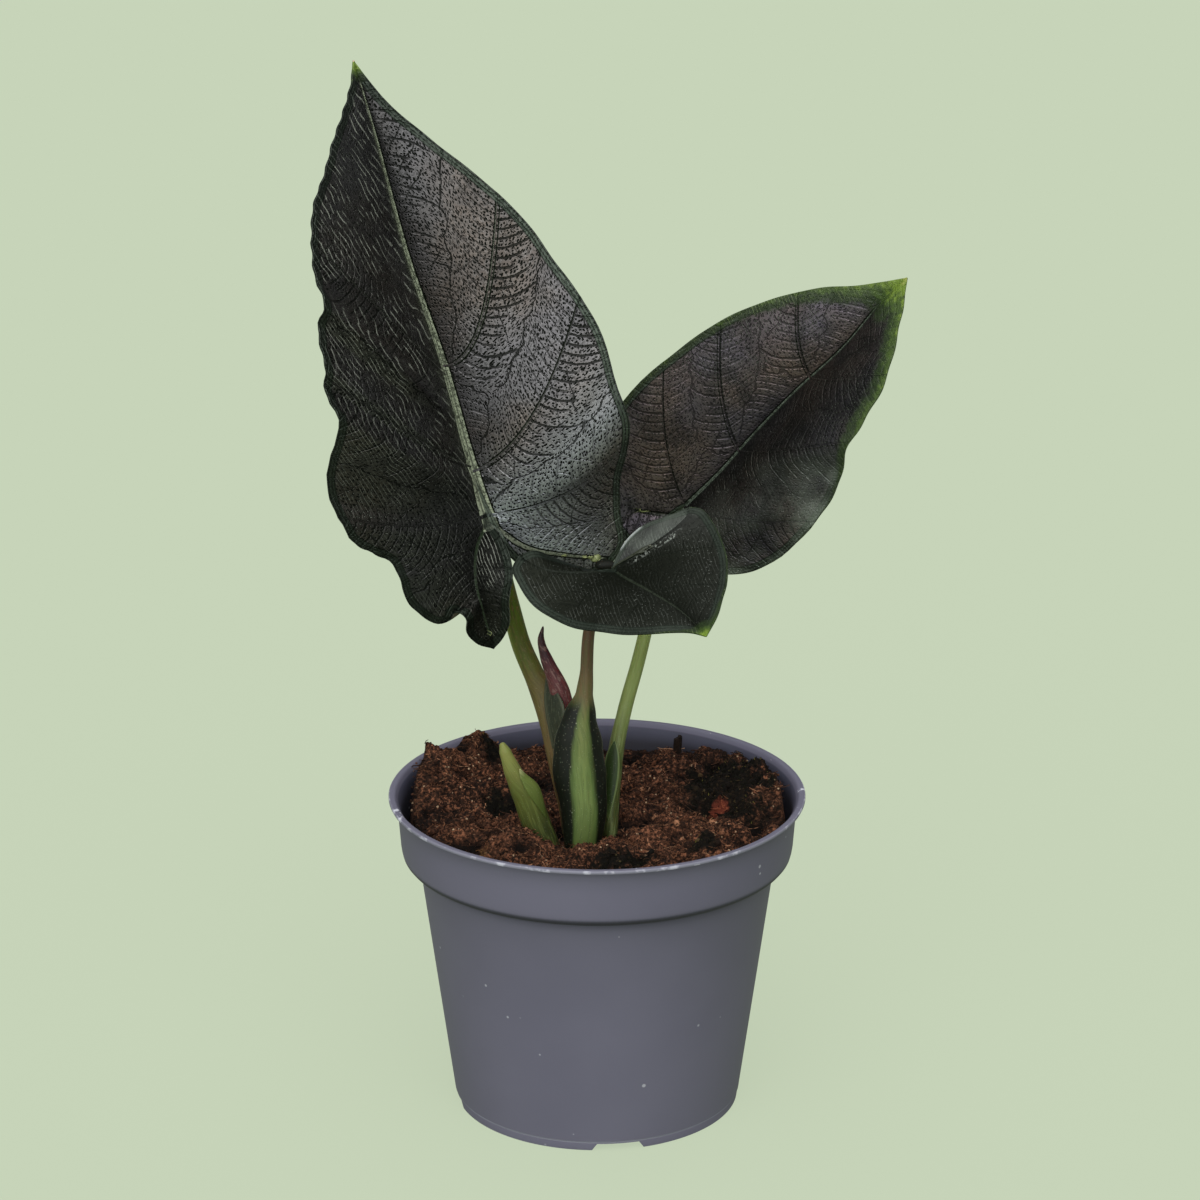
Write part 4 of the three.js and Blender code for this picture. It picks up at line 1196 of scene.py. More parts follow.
# %% Stalk measures, in millimetres
STALKS = {
    "petiole_large": {
        "path": [
            (-6.5, -11, 78.3), (-6.5, -11, 82), (-7.5, -11, 91.5), (-10.5, -9, 105), (-13.5, -6, 118),
            (-17, -3, 128.5), (-21.5, -1, 139.5), (-24.5, -0.5, 151), (-27, -1, 162),
            (-30.3, -3.7, 176.15),
        ],
        "stations": [
            (0, 3.2, 3.2, 2.9, 2.9), (0.3, 3.1, 3.4, 2.8, 2.8), (0.42, 3, 4.9, 2.6, 2.6),
            (0.48, 3, 5.6, 2.5, 2.5), (0.54, 2.9, 3, 2.5, 2.5), (0.65, 2.8, 2.7, 2.5, 2.5),
            (0.85, 2.5, 2.5, 2.3, 2.3), (0.97, 2.2, 2.2, 2, 1.8), (1, 1.6, 1.6, 1.5, 1.4),
        ],
    },
    "petiole_right": {
        "path": [
            (3.5, -15.5, 78.3), (3.5, -15.5, 81), (4, -14.5, 88), (4.6, -12, 98), (6, -7, 112),
            (8, -3, 121), (11.5, 3, 132), (13.5, 7, 139), (16.5, 14, 151), (19.7, 21, 161.5),
            (22.2, 25.7, 167.95),
        ],
        "stations": [
            (0, 2.3, 2, 2.6, 2.4), (0.15, 2.4, 1.9, 3, 2.4), (0.3, 2.6, 2, 2.8, 2.3),
            (0.42, 2, 2.1, 2.1, 2.1), (0.7, 1.9, 1.9, 1.9, 1.9), (0.96, 1.7, 1.7, 1.7, 1.7),
            (1, 1.2, 1.2, 1.2, 1.2),
        ],
    },
    "petiole_front": {
        "path": [
            (-4.5, -22.5, 78.3), (-4.5, -22.5, 81), (-4.3, -23, 86), (-4, -22, 97.5), (-5, -21, 109),
            (-4.6, -20, 120.5), (-3.2, -19, 132), (-2.3, -18, 149), (-0.5, -16.5, 157),
            (3.15, -16.4, 166.3),
        ],
        "stations": [
            (0, 3.4, 3.4, 3, 3), (0.09, 5, 5.2, 4.2, 3.8), (0.22, 6.4, 6.9, 4.6, 4),
            (0.34, 7.6, 7.6, 4.4, 3.8), (0.44, 7.2, 6.4, 4, 3.4), (0.53, 5.2, 3.8, 3.2, 2.8),
            (0.6, 2.7, 2.1, 2.3, 2.1), (0.68, 1.8, 1.8, 1.8, 1.8), (0.95, 1.5, 1.5, 1.5, 1.5),
            (1, 1.1, 1.1, 1.1, 1.1),
        ],
        "edge": 1.35,
    },
    "new_leaf": {
        "path": [
            (-5.2, -15.8, 78.3), (-5.2, -15.8, 82), (-5.4, -15.7, 92), (-6, -15, 106), (-7, -13.8, 116),
            (-9, -12.2, 124.5), (-11.5, -11, 132), (-14.3, -10, 138.5), (-15.8, -9.4, 144),
            (-15.2, -9, 148),
        ],
        "stations": [
            (0, 1.2, 1.2, 1.2, 1.2), (0.4, 1.3, 1.3, 1.3, 1.3), (0.6, 2.4, 2.4, 1.9, 1.9),
            (0.72, 2.9, 2.8, 2.1, 2.1), (0.84, 1.9, 1.9, 1.5, 1.5), (0.93, 1.1, 1.1, 0.9, 0.9),
            (1, 0.3, 0.3, 0.3, 0.3),
        ],
    },
    "cut_stalk": {
        "path": [
            (-12, -21.5, 78.3), (-12, -21.5, 81), (-15.3, -22.5, 88.6), (-18, -23, 96),
            (-20.2, -23.5, 102.4), (-23.3, -24, 108.7), (-25.7, -24, 115.5), (-26.8, -24, 118.5),
        ],
        "stations": [
            (0, 2.6, 2.4, 2.6, 2.6), (0.25, 4.2, 4, 3.4, 3.2), (0.45, 4.1, 4.1, 3.1, 2.9),
            (0.62, 3.7, 4.3, 2.8, 2.6), (0.76, 2.6, 2.7, 2.3, 2.2), (0.93, 1.8, 1.6, 1.6, 1.6),
            (1, 0.8, 0.7, 0.7, 0.7),
        ],
    },
}
STALK_RINGS = 150
STALK_SIDES = 40

print("stalks:", {name: len(stalk["path"]) for name, stalk in STALKS.items()}, "points each")

# %% [markdown]
# The path is a smooth curve through a few points, and at each ring four widths say how far the stalk
# reaches left, right, forwards and back. The widths run over from station to station, half straight
# and half smoothed. Both ends close to a point, which sits inside the mix or the leaf.

# %% Building the stalks


def eased(stations, at, column):
    """Interpolation between stations, half straight and half smoothed, as in the CAD model."""
    table = np.array(stations, float)
    low = np.clip(np.searchsorted(table[:, 0], at, side="left") - 1, 0, len(table) - 2)
    start, end = table[low, 0], table[low + 1, 0]
    straight = np.clip((at - start) / (end - start), 0, 1)
    share = (straight + straight**2 * (3 - 2 * straight)) / 2
    return table[low, column] * (1 - share) + table[low + 1, column] * share


def tube_places(stalk):
    """Rings of places round the path, closed to a point at both ends."""
    path = smooth_curve(stalk["path"])
    share = crowded_ends(STALK_RINGS, 0.35)
    centre = path(share)
    along = unit(path(np.minimum(share + 0.005, 1)) - path(np.maximum(share - 0.005, 0)))
    side = unit(np.cross(along, FRONT))
    side = side * np.where(side[:, :1] < 0, -1, 1)
    front = unit(np.cross(side, along))
    front = front * np.where(front @ FRONT < 0, -1, 1)[:, None]
    left, right, near, far = (eased(stalk["stations"], share, k) * MM for k in (1, 2, 3, 4))
    closing = np.sqrt(np.clip(1 - ((share - 0.985) / 0.015).clip(0) ** 2, 0, 1))
    closing[0] = 0
    angle = np.linspace(0, 2 * np.pi, STALK_SIDES + 1)
    cosine, sine = np.cos(angle)[None, :], np.sin(angle)[None, :]
    wide = cosine * np.where(cosine < 0, left[:, None], right[:, None]) * closing[:, None]
    thinned = np.sign(sine) * np.abs(sine) ** stalk.get("edge", 1)
    deep = thinned * np.where(sine < 0, far[:, None], near[:, None]) * closing[:, None]
    place = centre[:, None, :] + side[:, None, :] * wide[..., None] + front[:, None, :] * deep[..., None]
    up, around = np.broadcast_arrays(share[:, None], cosine)
    return place, {"up": up, "side": around}


def surface_map(place):
    """Millimetres along the stalk and round it, for each point of the grid."""
    along = np.linalg.norm(np.diff(place, axis=0, prepend=place[:1]), axis=-1).cumsum(axis=0)
    across = np.linalg.norm(np.diff(place, axis=1, prepend=place[:, :1]), axis=-1).cumsum(axis=1)
    return np.stack([along, across], axis=-1) / MM


def make_stalk(name):
    place, painted = tube_places(STALKS[name])
    stalk = shaped_grid(name + "_skin", place, painted, surface_map(place))
    edit(stalk, merge_doubles, face_outwards)
    choose(stalk)
    bpy.ops.object.shade_smooth()
    print(stalk.name, triangles_of(stalk), "triangles")
    return stalk


stalks = {name: make_stalk(name) for name in STALKS}

# %% [markdown]
# A young stalk carries small pointed sheaths pressed against it. Each is a thin skin, so it is the
# stalk's own surface once more, a little further out, cut to a pointed oval by narrowing its turn
# round the stalk towards both ends. The flap that joins the large stalk to the front one bridges a
# gap, so it is a patch drawn between two curves instead.

# %% Small sheaths
SHEATHS = {
    "small_sheath": {
        "on": "petiole_right", "from": 0.13, "to": 0.345, "turn": 112, "spread": 46, "proud": 1.0,
    },
    "torn_lip": {"on": "cut_stalk", "from": 0.42, "to": 0.8, "turn": 38, "spread": 34, "proud": 0.35},
}
SHEATH_THICKNESS = 0.35
FLAP_THICKNESS = 0.4
FLAP_BULGE = 0.7
FLAP_LEFT = [(-14.4, -8.4, 133.0), (-14.8, -10.5, 125.3), (-12.6, -15, 113.4)]
FLAP_RIGHT = [(-14.2, -8.4, 133.2), (-9.1, -16.6, 125.6), (-10.6, -16.6, 112.6)]
SHEATH_STEPS = (40, 14)


def make_sheath(name):
    sheath = SHEATHS[name]
    place, _ = tube_places(STALKS[sheath["on"]])
    ring_share = crowded_ends(STALK_RINGS, 0.35)
    shares = np.linspace(sheath["from"], sheath["to"], SHEATH_STEPS[0] + 1)
    ring_place = np.interp(shares, ring_share, np.arange(len(ring_share)))
    across = np.linspace(-1, 1, SHEATH_STEPS[1] + 1)
    up = np.linspace(0, 1, len(shares))
    spread = np.radians(sheath["spread"]) * np.sin(np.pi * up**1.3) ** 0.8 + 0.02
    angle = math.radians(sheath["turn"]) + across[None, :] * spread[:, None]
    turns = np.linspace(0, 2 * np.pi, STALK_SIDES + 1)
    grid = np.empty((len(shares), len(across), 3))
    for i, wanted in enumerate(ring_place):
        low = min(int(wanted), len(ring_share) - 2)
        ring = place[low] + (place[low + 1] - place[low]) * (wanted - low)
        outline = np.stack([np.interp(angle[i], turns, ring[:, k]) for k in range(3)], axis=-1)
        outward = unit(outline - ring[:-1].mean(axis=0))
        grid[i] = outline + outward * (sheath["proud"] * (0.35 + 0.65 * up[i]) * MM)
    return thin_piece(name, grid, up, across, SHEATH_THICKNESS)


def thin_piece(name, grid, up, across, thickness):
    """A grid with its way up and its way across painted on it, thickened to both sides."""
    up, side = np.broadcast_arrays(up[:, None], across[None, :])
    piece = shaped_grid(name, grid, {"up": up, "side": side}, surface_map(grid))
    edit(piece, face_outwards)
    apply_modifier(piece, "SOLIDIFY", thickness=thickness * MM, offset=0)
    bpy.ops.object.shade_smooth()
    return piece


def make_flap(name):
    """A thin patch between two curves, bulging a little to the front."""
    down = np.linspace(0, 1, 31)
    across = np.linspace(-1, 1, 11)
    left, right = smooth_curve(FLAP_LEFT)(down), smooth_curve(FLAP_RIGHT)(down)
    share = (across[None, :, None] + 1) / 2
    grid = left[:, None, :] * (1 - share) + right[:, None, :] * share
    bulge = FLAP_BULGE * np.sin(np.pi * share[..., 0]) * np.sin(np.pi * down)[:, None] * MM
    return thin_piece(name, grid + FRONT * bulge[..., None], 1 - down, across, FLAP_THICKNESS)


sheaths = {name: make_sheath(name) for name in SHEATHS}
sheaths["side_wing"] = make_flap("side_wing")
print("sheaths:", {name: triangles_of(piece) for name, piece in sheaths.items()})

# %% [markdown]
# Every stalk has the same kind of skin: it changes colour on the way up, carries long darker streaks
# and has a waxy gloss. One function makes it from a short list of looks. The streaks are noise drawn
# out along the flat map, so they follow the bends of the stalk, which plain noise in space wouldn't.

# %% Stalk skins
STALK_LOOKS = {
    "petiole_large": {
        "name": "bronze_skin", "streak_tone": (50, 44, 26), "streak_share": 0.35, "mottle": (88, 80, 46),
        "tones_up": [
            (0, (72, 57, 38)), (0.3, (94, 80, 48)), (0.5, (84, 78, 40)), (0.6, (68, 80, 28)),
            (0.72, (66, 90, 20)), (0.95, (62, 84, 18)),
        ],
    },
    "petiole_right": {
        "name": "pale_skin", "streak_tone": (134, 148, 94), "streak_share": 0.4,
        "tones_up": [
            (0, (44, 52, 24)), (0.26, (62, 74, 33)), (0.5, (118, 134, 74)), (0.75, (114, 132, 68)),
            (0.95, (96, 114, 52)),
        ],
    },
    "petiole_front": {
        "name": "sheath_skin", "streak_tone": (70, 84, 44), "streak_share": 0.4,
        "tones_up": [
            (0, (62, 73, 33)), (0.12, (76, 92, 46)), (0.3, (100, 118, 65)), (0.5, (100, 110, 63)),
            (0.6, (92, 83, 54)), (0.75, (84, 68, 50)),
        ],
    },
    "new_leaf": {
        "name": "maroon_skin", "streak_tone": (42, 22, 24), "streak_share": 0.6, "mottle": (106, 84, 78),
        "tones_up": [
            (0, (46, 50, 28)), (0.5, (88, 52, 48)), (0.75, (84, 46, 46)), (0.9, (46, 24, 30)),
            (0.97, (26, 18, 20)),
        ],
    },
    "cut_stalk": {
        "name": "stub_skin", "streak_tone": (100, 112, 56), "streak_share": 0.4,
        "tones_up": [(0, (26, 30, 13)), (0.3, (38, 45, 19)), (0.6, (74, 83, 36)), (0.92, (114, 118, 62))],
    },
    "small_sheath": {
        "name": "small_sheath_skin", "streak_tone": (26, 38, 16), "edge_tone": (108, 124, 74),
        "tones_up": [(0, (66, 82, 38)), (0.3, (40, 56, 24))],
    },
    "torn_lip": {
        "name": "torn_lip_skin", "streak_tone": (72, 84, 36), "streak_share": 0.4,
        "tones_up": [(0, (60, 72, 28)), (0.8, (92, 104, 48)), (1, (150, 152, 104))],
    },
    "side_wing": {
        "name": "side_wing_skin", "streak_tone": (28, 31, 22), "edge_tone": (62, 66, 50),
        "mottle": (60, 62, 48), "tones_up": [(0, (44, 48, 34)), (0.5, (38, 43, 31))],
    },
    "leaf_base": {
        "name": "leaf_base_skin", "streak_tone": (22, 25, 17),
        "tones_up": [(0, (14, 16, 11)), (1, (14, 16, 11))],
    },
}
WAX_SPECKS = (176, 180, 160)


def streaks(tree, stretch, scale, detail=4.0):
    """Noise drawn out along the stalk, from the surface map."""
    surface = place_node(tree, "UVMap", uv_map="surface_mm")
    return cloudy(vector_maths("MULTIPLY", surface, (1 / stretch, 1.0, 1.0)), scale, detail)


def specks(tree, scale, size):
    """Small round specks, 1 on a speck."""
    sockets = {"Vector": object_place(tree), "Scale": scale}
    spots = place_node(tree, "TexVoronoi", sockets, "Distance")
    return mask(spots, size, size * 0.5)


def edge_line(tree, low, high):
    """1 along both long edges of a sheath."""
    return mask(maths("ABSOLUTE", painted_value(tree, "side")), low, high)


def stalk_skin(name, tones_up, streak_tone, streak_share=0.5, mottle=None, edge_tone=None):
    """Skin that changes colour up the stalk, with long streaks, specks and a waxy gloss."""
    material, tree, shader = new_material(name)
    up = painted_value(tree, "up")
    base = tones_up[0][1]
    for (low, _), (high, tone) in zip(tones_up, tones_up[1:]):
        base = blend_colour(mask(up, low, high), base, tone)
    broad_streaks = mask(streaks(tree, 9, 1.1), 0.46, 0.64)
    base = blend_colour(times(broad_streaks, streak_share), base, streak_tone)
    thin_streaks = mask(streaks(tree, 22, 3.2, 3.0), 0.52, 0.66)
    base = blend_colour(times(thin_streaks, streak_share), base, darker(streak_tone))
    if mottle:
        blots = mask(streaks(tree, 3, 1.6, 4.0), 0.54, 0.62)
        base = blend_colour(times(blots, 0.7), base, mottle)
    base = blend_colour(times(specks(tree, 1500, 0.15), 0.3), base, WAX_SPECKS)
    fine = streaks(tree, 14, 4.0, 2.0)
    rough = plus(0.36, times(fine, 0.2))
    normal = bumped(fine, 0.1 * MM, 0.6)
    feed(shader, Base_Color=base, Roughness=rough, Normal=normal)
    feed(shader, Specular_IOR_Level=0.22, Subsurface_Weight=0.06)
    if edge_tone:
        repaint(shader, times(edge_line(tree, 0.62, 0.86), 0.8), edge_tone)
    return material, tree, shader


skins = {name: stalk_skin(**look) for name, look in STALK_LOOKS.items()}
print("stalk skins:", [skin[0].name for skin in skins.values()])

# %% [markdown]
# The sheath of the front stalk is what the eye meets first over the pot: a pale green band, wide at the foot
# and narrow above, between two nearly black wings with a rough edge. The large stalk has a dark sheath at
# its right and a painted highlight along its left. Both are laid over the finished skins by the painted way
# up and the way round, so the band's limits are two short sums.

# %% Wings of the front stalk, sheath and painted highlight of the large stalk
BAND = {"top": 0.38, "left": (0.25, 0.9), "right": (0.46, 0.8)}
WING_TONES = {
    "deeper": (64, 86, 40), "wing": (10, 15, 7), "specks": (150, 156, 130), "outline": (92, 100, 74),
}
LARGE_TONES = {"sheath": (40, 43, 32), "lit": (112, 128, 54)}


def paint_wings(tree, shader):
    side, up = painted_value(tree, "side"), painted_value(tree, "up")
    below = most(minus(BAND["top"], up), 0.0)
    wander = times(minus(streaks(tree, 12, 0.8), 0.5), 0.26)
    left, right = (plus(BAND[key][0], times(below, BAND[key][1])) for key in ("left", "right"))
    past_left = minus(times(side, -1.0), left)
    past_right = minus(side, right)
    past = plus(most(past_left, past_right), wander)
    here = mask(up, 0.6, 0.54)
    repaint(shader, times(mask(past, -0.26, 0.0), here, 0.6), WING_TONES["deeper"])
    wing = times(mask(past, -0.08, 0.12), here)
    repaint(shader, wing, WING_TONES["wing"])
    repaint(shader, times(specks(tree, 1100, 0.24), wing, 0.2), WING_TONES["specks"])
    seam = times(mask(past_left, -0.08, 0.0), mask(past_left, 0.16, 0.06))
    rough_seam = times(seam, specks(tree, 800, 0.22), here, 0.5)
    repaint(shader, rough_seam, WING_TONES["specks"])
    repaint(shader, times(edge_line(tree, 0.985, 0.997), here, 0.5), WING_TONES["outline"])


def paint_large_stalk(tree, shader):
    up, side = painted_value(tree, "up"), painted_value(tree, "side")
    sheath = times(mask(up, 0.28, 0.36), mask(up, 0.53, 0.47), mask(side, 0.3, 0.5))
    repaint(shader, sheath, LARGE_TONES["sheath"])
    # A painted highlight down the left side of the large stalk's upper part.
    lit = times(mask(side, -0.5, -0.9), mask(up, 0.5, 0.7), 0.6)
    repaint(shader, lit, LARGE_TONES["lit"])


paint_wings(*skins["petiole_front"][1:])
paint_large_stalk(*skins["petiole_large"][1:])
for name, stalk in {**stalks, **sheaths}.items():
    stalk.data.materials.append(skins[name][0])
    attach(stalk, "root")
    if name in STALKS:
        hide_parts(name)
print("dressed:", [piece.name for piece in (*stalks.values(), *sheaths.values())])

# %% [markdown]
# Where a stalk meets its leaf it widens into a small fleshy pad, which closes the gap between the
# lobes. On the front leaf it shows from above. It could be modelled with the stalk, but the stalk's
# rings would have to turn sharply there, so it is a sphere pulled into a drop and laid in the gap.

# %% The leaf base of the front leaf
PAD_SIZE = (3.4, 1.6, 1.7)
PAD_SHIFT = (-1.2, 1.6, 0.6)
PAD_NARROWING = 0.25


def make_leaf_base():
    deselect()
    bpy.ops.mesh.primitive_uv_sphere_add(segments=32, ring_count=18, radius=MM)
    pad = bpy.context.object
    pad.name = "leaf_base"
    places = points_of(pad) * np.array(PAD_SIZE)
    narrowing = 1 - PAD_NARROWING * places[:, :1] / (PAD_SIZE[0] * MM)
    places[:, 1:] *= narrowing
    hub = np.array(BLADES["blade_front"]["midrib"][-1]) + np.array(PAD_SHIFT)
    move_points(pad, places + hub * MM)
    bpy.ops.object.shade_smooth()
    return pad


leaf_base = make_leaf_base()
pad_skin, tree, shader = skins["leaf_base"]
feed(shader, Specular_IOR_Level=0.1)
leaf_base.data.materials.append(pad_skin)
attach(leaf_base, "root")
print("leaf base", triangles_of(leaf_base), "triangles, at", BLADES["blade_front"]["midrib"][-1])

# %% [markdown]
# The nursery pot is a moulded shell of even wall: a flat rolled lip, a collar, a tapered body and a
# foot ring. A lathe gives it, and by hand that is a circle extruded and resized for each step of the
# profile. Small extra steps at the corners round them as a mould does.

# %% Pot measures, in millimetres
POT_PROFILE = [
    (7, 0), (7.2, 2.4), (8, 2.6), (39.0, 2.6), (39.3, 2.3), (39.3, 0.1), (39.5, 0), (40.9, 0),
    (41.15, 0.15), (41.45, 2.35), (41.35, 2.7), (41.7, 3.0),
    (46.6, 38.8), (51.3, 73.4), (51.65, 74.5), (52.1, 74.75), (54, 75.3), (55.4, 76.0), (56.05, 76.8),
    (56.35, 77.9), (56.6, 79.5), (57.1, 86.0), (57.55, 92.5), (57.75, 92.95), (58.2, 93.1),
    (59.55, 93.1), (59.85, 93.2), (60, 93.5), (60, 93.85), (59.85, 94.1), (59.5, 94.2),
    (58.5, 94.2), (58.15, 94.05), (57.9, 93.7), (57.0, 92.4), (56.55, 91.0), (55.55, 79.9),
    (54.9, 78.1), (53.5, 76.5), (50.6, 75.7), (50.3, 74.8), (40.5, 3.9), (39.5, 3.6),
]
POT_SIDES = 192
FOOT_NOTCH = {"count": 4, "first_degrees": 8.5, "bottom": 16.5, "top": 12.2, "height": 2.2}
DRAIN_HOLE = {"count": 8, "radius": 3.2, "circle": 28}

# %% [markdown]
# A spin of the profile would be shorter to write, but it leaves a seam to merge. The circle stays
# closed from step to step, so the wall has no seam, and only the two ends need a face: the inside of
# the base and the small hollow in the middle of its underside.

# %% Turning the pot


def turned_shell(name, profile, sides):
    """A circle, extruded and resized for each step of a profile of (radius, height)."""
    deselect()
    (radius, height), *steps = profile
    bpy.ops.mesh.primitive_circle_add(vertices=sides, radius=radius * MM, location=(0, 0, height * MM))
    piece = bpy.context.object
    piece.name = piece.data.name = name
    bpy.ops.object.transform_apply(location=True, rotation=True, scale=True)
    bpy.ops.object.mode_set(mode="EDIT")
    bpy.ops.mesh.select_all(action="SELECT")
    for next_radius, next_height in steps:
        rise = (0, 0, (next_height - height) * MM)
        bpy.ops.mesh.extrude_edges_move(TRANSFORM_OT_translate={"value": rise})
        grow = next_radius / radius
        bpy.ops.transform.resize(value=(grow, grow, 1), center_override=(0, 0, 0))
        radius, height = next_radius, next_height
    bpy.ops.object.mode_set(mode="OBJECT")
    return piece


pot = turned_shell("nursery_pot", POT_PROFILE, POT_SIDES)
first_ring = [v.index for v in pot.data.vertices][:POT_SIDES]
last_ring = [v.index for v in pot.data.vertices][-POT_SIDES:]


def cap_ring(piece, ring):
    choose(piece)
    chosen = set(ring)
    for item in (*piece.data.polygons, *piece.data.edges):
        item.select = False
    for vertex in piece.data.vertices:
        vertex.select = vertex.index in chosen
    bpy.ops.object.mode_set(mode="EDIT")
    bpy.ops.mesh.select_mode(type="VERT")
    bpy.ops.mesh.edge_face_add()
    bpy.ops.object.mode_set(mode="OBJECT")


cap_ring(pot, first_ring)
cap_ring(pot, last_ring)
edit(pot, face_outwards)
print("pot", triangles_of(pot), "triangles")

# %% [markdown]
# Water leaves through holes in the base and notches in the foot ring. Both are cut with Boolean: a
# wedge for each notch, since a mould needs slanting sides to let go, and a short cylinder for each
# hole. All cutters are joined first, because one cut is safer and quicker than twelve.

# %% Cutting the notches and drain holes


def cut_away(piece, cutters):
    choose(*cutters)
    bpy.ops.object.join()
    cutter = bpy.context.object
    apply_modifier(piece, "BOOLEAN", operation="DIFFERENCE", solver="EXACT", object=cutter)
    bpy.data.objects.remove(cutter)


def notch_cutter(degrees):
    deselect()
    bpy.ops.mesh.primitive_cube_add(size=1, location=(0, -40.2 * MM, 0.6 * MM))
    cutter = bpy.context.object
    cutter.scale = (FOOT_NOTCH["bottom"] * MM, 6 * MM, 3.2 * MM)
    bpy.ops.object.transform_apply(location=True, rotation=True, scale=True)
    for vertex in cutter.data.vertices:
        if vertex.co.z > 0:
            vertex.co.x *= FOOT_NOTCH["top"] / FOOT_NOTCH["bottom"]
            vertex.co.z = FOOT_NOTCH["height"] * MM
    cutter.rotation_euler.z = math.radians(degrees)
    bpy.ops.object.transform_apply(location=True, rotation=True, scale=True)
    return cutter


def drain_cutter(degrees):
    deselect()
    turn, out = math.radians(degrees), DRAIN_HOLE["circle"] * MM
    spot = (out * math.sin(turn), -out * math.cos(turn), 3 * MM)
    radius = DRAIN_HOLE["radius"] * MM
    bpy.ops.mesh.primitive_cylinder_add(vertices=32, radius=radius, depth=6 * MM, location=spot)
    bpy.ops.object.transform_apply(location=True, rotation=True, scale=True)
    return bpy.context.object


notches, holes = FOOT_NOTCH["count"], DRAIN_HOLE["count"]
cutters = [notch_cutter(FOOT_NOTCH["first_degrees"] + 360 / notches * i) for i in range(notches)]
cutters += [drain_cutter(360 / holes * (i + 0.5)) for i in range(holes)]
cut_away(pot, cutters)
choose(pot)
bpy.ops.object.shade_smooth_by_angle(angle=math.radians(38))
print("pot after cutting", triangles_of(pot), "triangles")

# %% [markdown]
# The pot is a satin plastic of one colour, and what makes it look real is small: faint clouds, dust, a pale
# line along the lip that is partly wear and partly a painted highlight, a faint painted highlight on the
# rim's top, a lighter line at the foot, a painted shadow under the collar's step, and painted shade on the
# inner wall, darkest low down near the mix. Each is a colour laid over the last, where height and radius say
# so. Painting on a flat map would do as well, but heights and radii are measures that the pot already has.

# %% Pot material
POT_TONES = {
    "wall": ((91, 90, 105), (96, 95, 110)), "collar_shadow": (62, 61, 76), "inside": (58, 60, 74),
    "shade_near_soil": (30, 29, 32), "dust": (176, 178, 184), "rim": (122, 122, 136), "lip_wear_and_highlight": (178, 180, 190),
    "nick": (186, 188, 196), "foot": (140, 142, 152),
}
WALL_TAPER = 0.07


def pot_places(place):
    """Height, and distance from the pot's axis, both in metres."""
    level = vector_maths("MULTIPLY", place, (1, 1, 0))
    return split(place)["Z"], vector_maths("LENGTH", level, output="Value")


def pot_plastic():
    material, tree, shader = new_material("pot_plastic")
    place = object_place(tree)
    height, radius = pot_places(place)
    clouds, scuffs = cloudy(place, 22.0, 4.0), cloudy(place, 240.0, 5.0)
    base = blend_colour(mask(clouds, 0.3, 0.7), *POT_TONES["wall"])

    def at_height(low, high):
        return mask(height, low * MM, high * MM)

    # The inner wall gets painted shade, darkest low down near the mix.
    inwards = mask(maths("MULTIPLY_ADD", height, -WALL_TAPER, radius), 50.95 * MM, 50.65 * MM)
    inside = times(inwards, at_height(75, 76.5))
    # A faint painted highlight on the rim's top, and a pale line along the lip's outer edge that is partly
    # wear and partly a painted highlight.
    rim = at_height(93.3, 93.9)
    lip = times(at_height(93.0, 93.3), mask(radius, 59.55 * MM, 59.8 * MM))
    wear_and_highlight = plus(0.16, times(mask(scuffs, 0.52, 0.62), 0.6))
    layers = {
        # A painted shadow under the collar's step.
        "collar_shadow": times(at_height(71.5, 74.6), at_height(75.6, 75.0), 0.4),
        "inside": times(inside, 0.8),
        # Painted shade on the inner wall near the mix.
        "shade_near_soil": times(inside, at_height(91.5, 87.5), 0.75),
        "dust": times(most(specks(tree, 62, 0.045), specks(tree, 97, 0.05)), 0.7),
        "rim": times(rim, 0.12),
        "lip_wear_and_highlight": times(lip, wear_and_highlight),
        "nick": times(rim, mask(scuffs, 0.66, 0.71)),
        "foot": times(at_height(3.2, 2.9), at_height(2.3, 2.6), 0.5),
    }
    for label, share in layers.items():
        base = blend_colour(share, base, POT_TONES[label])
    rough = plus(0.5, times(clouds, 0.16))
    feed(shader, Base_Color=base, Roughness=rough, Specular_IOR_Level=0.28)
    feed(shader, Normal=bumped(cloudy(place, 1800.0, 2.0), 0.02 * MM, 0.5))
    return material


pot.data.materials.clear()
pot.data.materials.append(pot_plastic())
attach(pot, "root")
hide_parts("pot")
print("pot finish:", pot.data.materials[0].name, "in", len(POT_TONES), "tones")

# %% [markdown]
# Potting mix is a rough heap: lumps and hollows as high as a fingertip, crumbs a millimetre or two
# across, and coir fibres lying about. The heap is a grid pulled to a disc and raised by the CAD
# model's own lumps with finer noise on top. Crumbs and fibres are modelled once each and copied.

# %% Soil measures, in millimetres
SOIL_LEVEL = 89
SOIL_RADIUS = 55.2
SOIL_STEPS = 280
LUMPS = [
    (-50, 15, 13, 10), (-48, 26, 6, 4), (-37, 37, 7, 10), (-34, 39, 3.5, 2.5), (-52, -4, 9, 3),
    (-27, 18, 9, 2), (-24.5, -27, 7, 3.5), (-38, -24, 9, 1.5), (-26, -8, 5, -2.5), (-10, 8, 9, 1.5),
    (19.5, -19, 7, 3.5),
    (11, -13, 4, -2.5), (24, 30, 7, 2), (50, 20, 11, 8), (54, 2, 8, 4), (38, -4, 7, -2), (38, -30, 8, 2),
    (6, -38, 6, 1.5), (37, 42, 8, 5), (-5, -21, 9, -2.8), (5, 48, 16, -1),
]
HOLLOWS = [
    (13, -11, 5, 6), (-27, 2, 4.5, 4), (-13, -12, 4, 3.5), (-33, -10, 3, 2), (3, -3, 5, 3),
    (30, -2, 5, 2), (-18, 24, 4, 2.5), (44, -12, 4, 2), (16, 12, 4, 2.5), (6, 48, 12, 3),
    (30, 45, 13, 3.8),
]
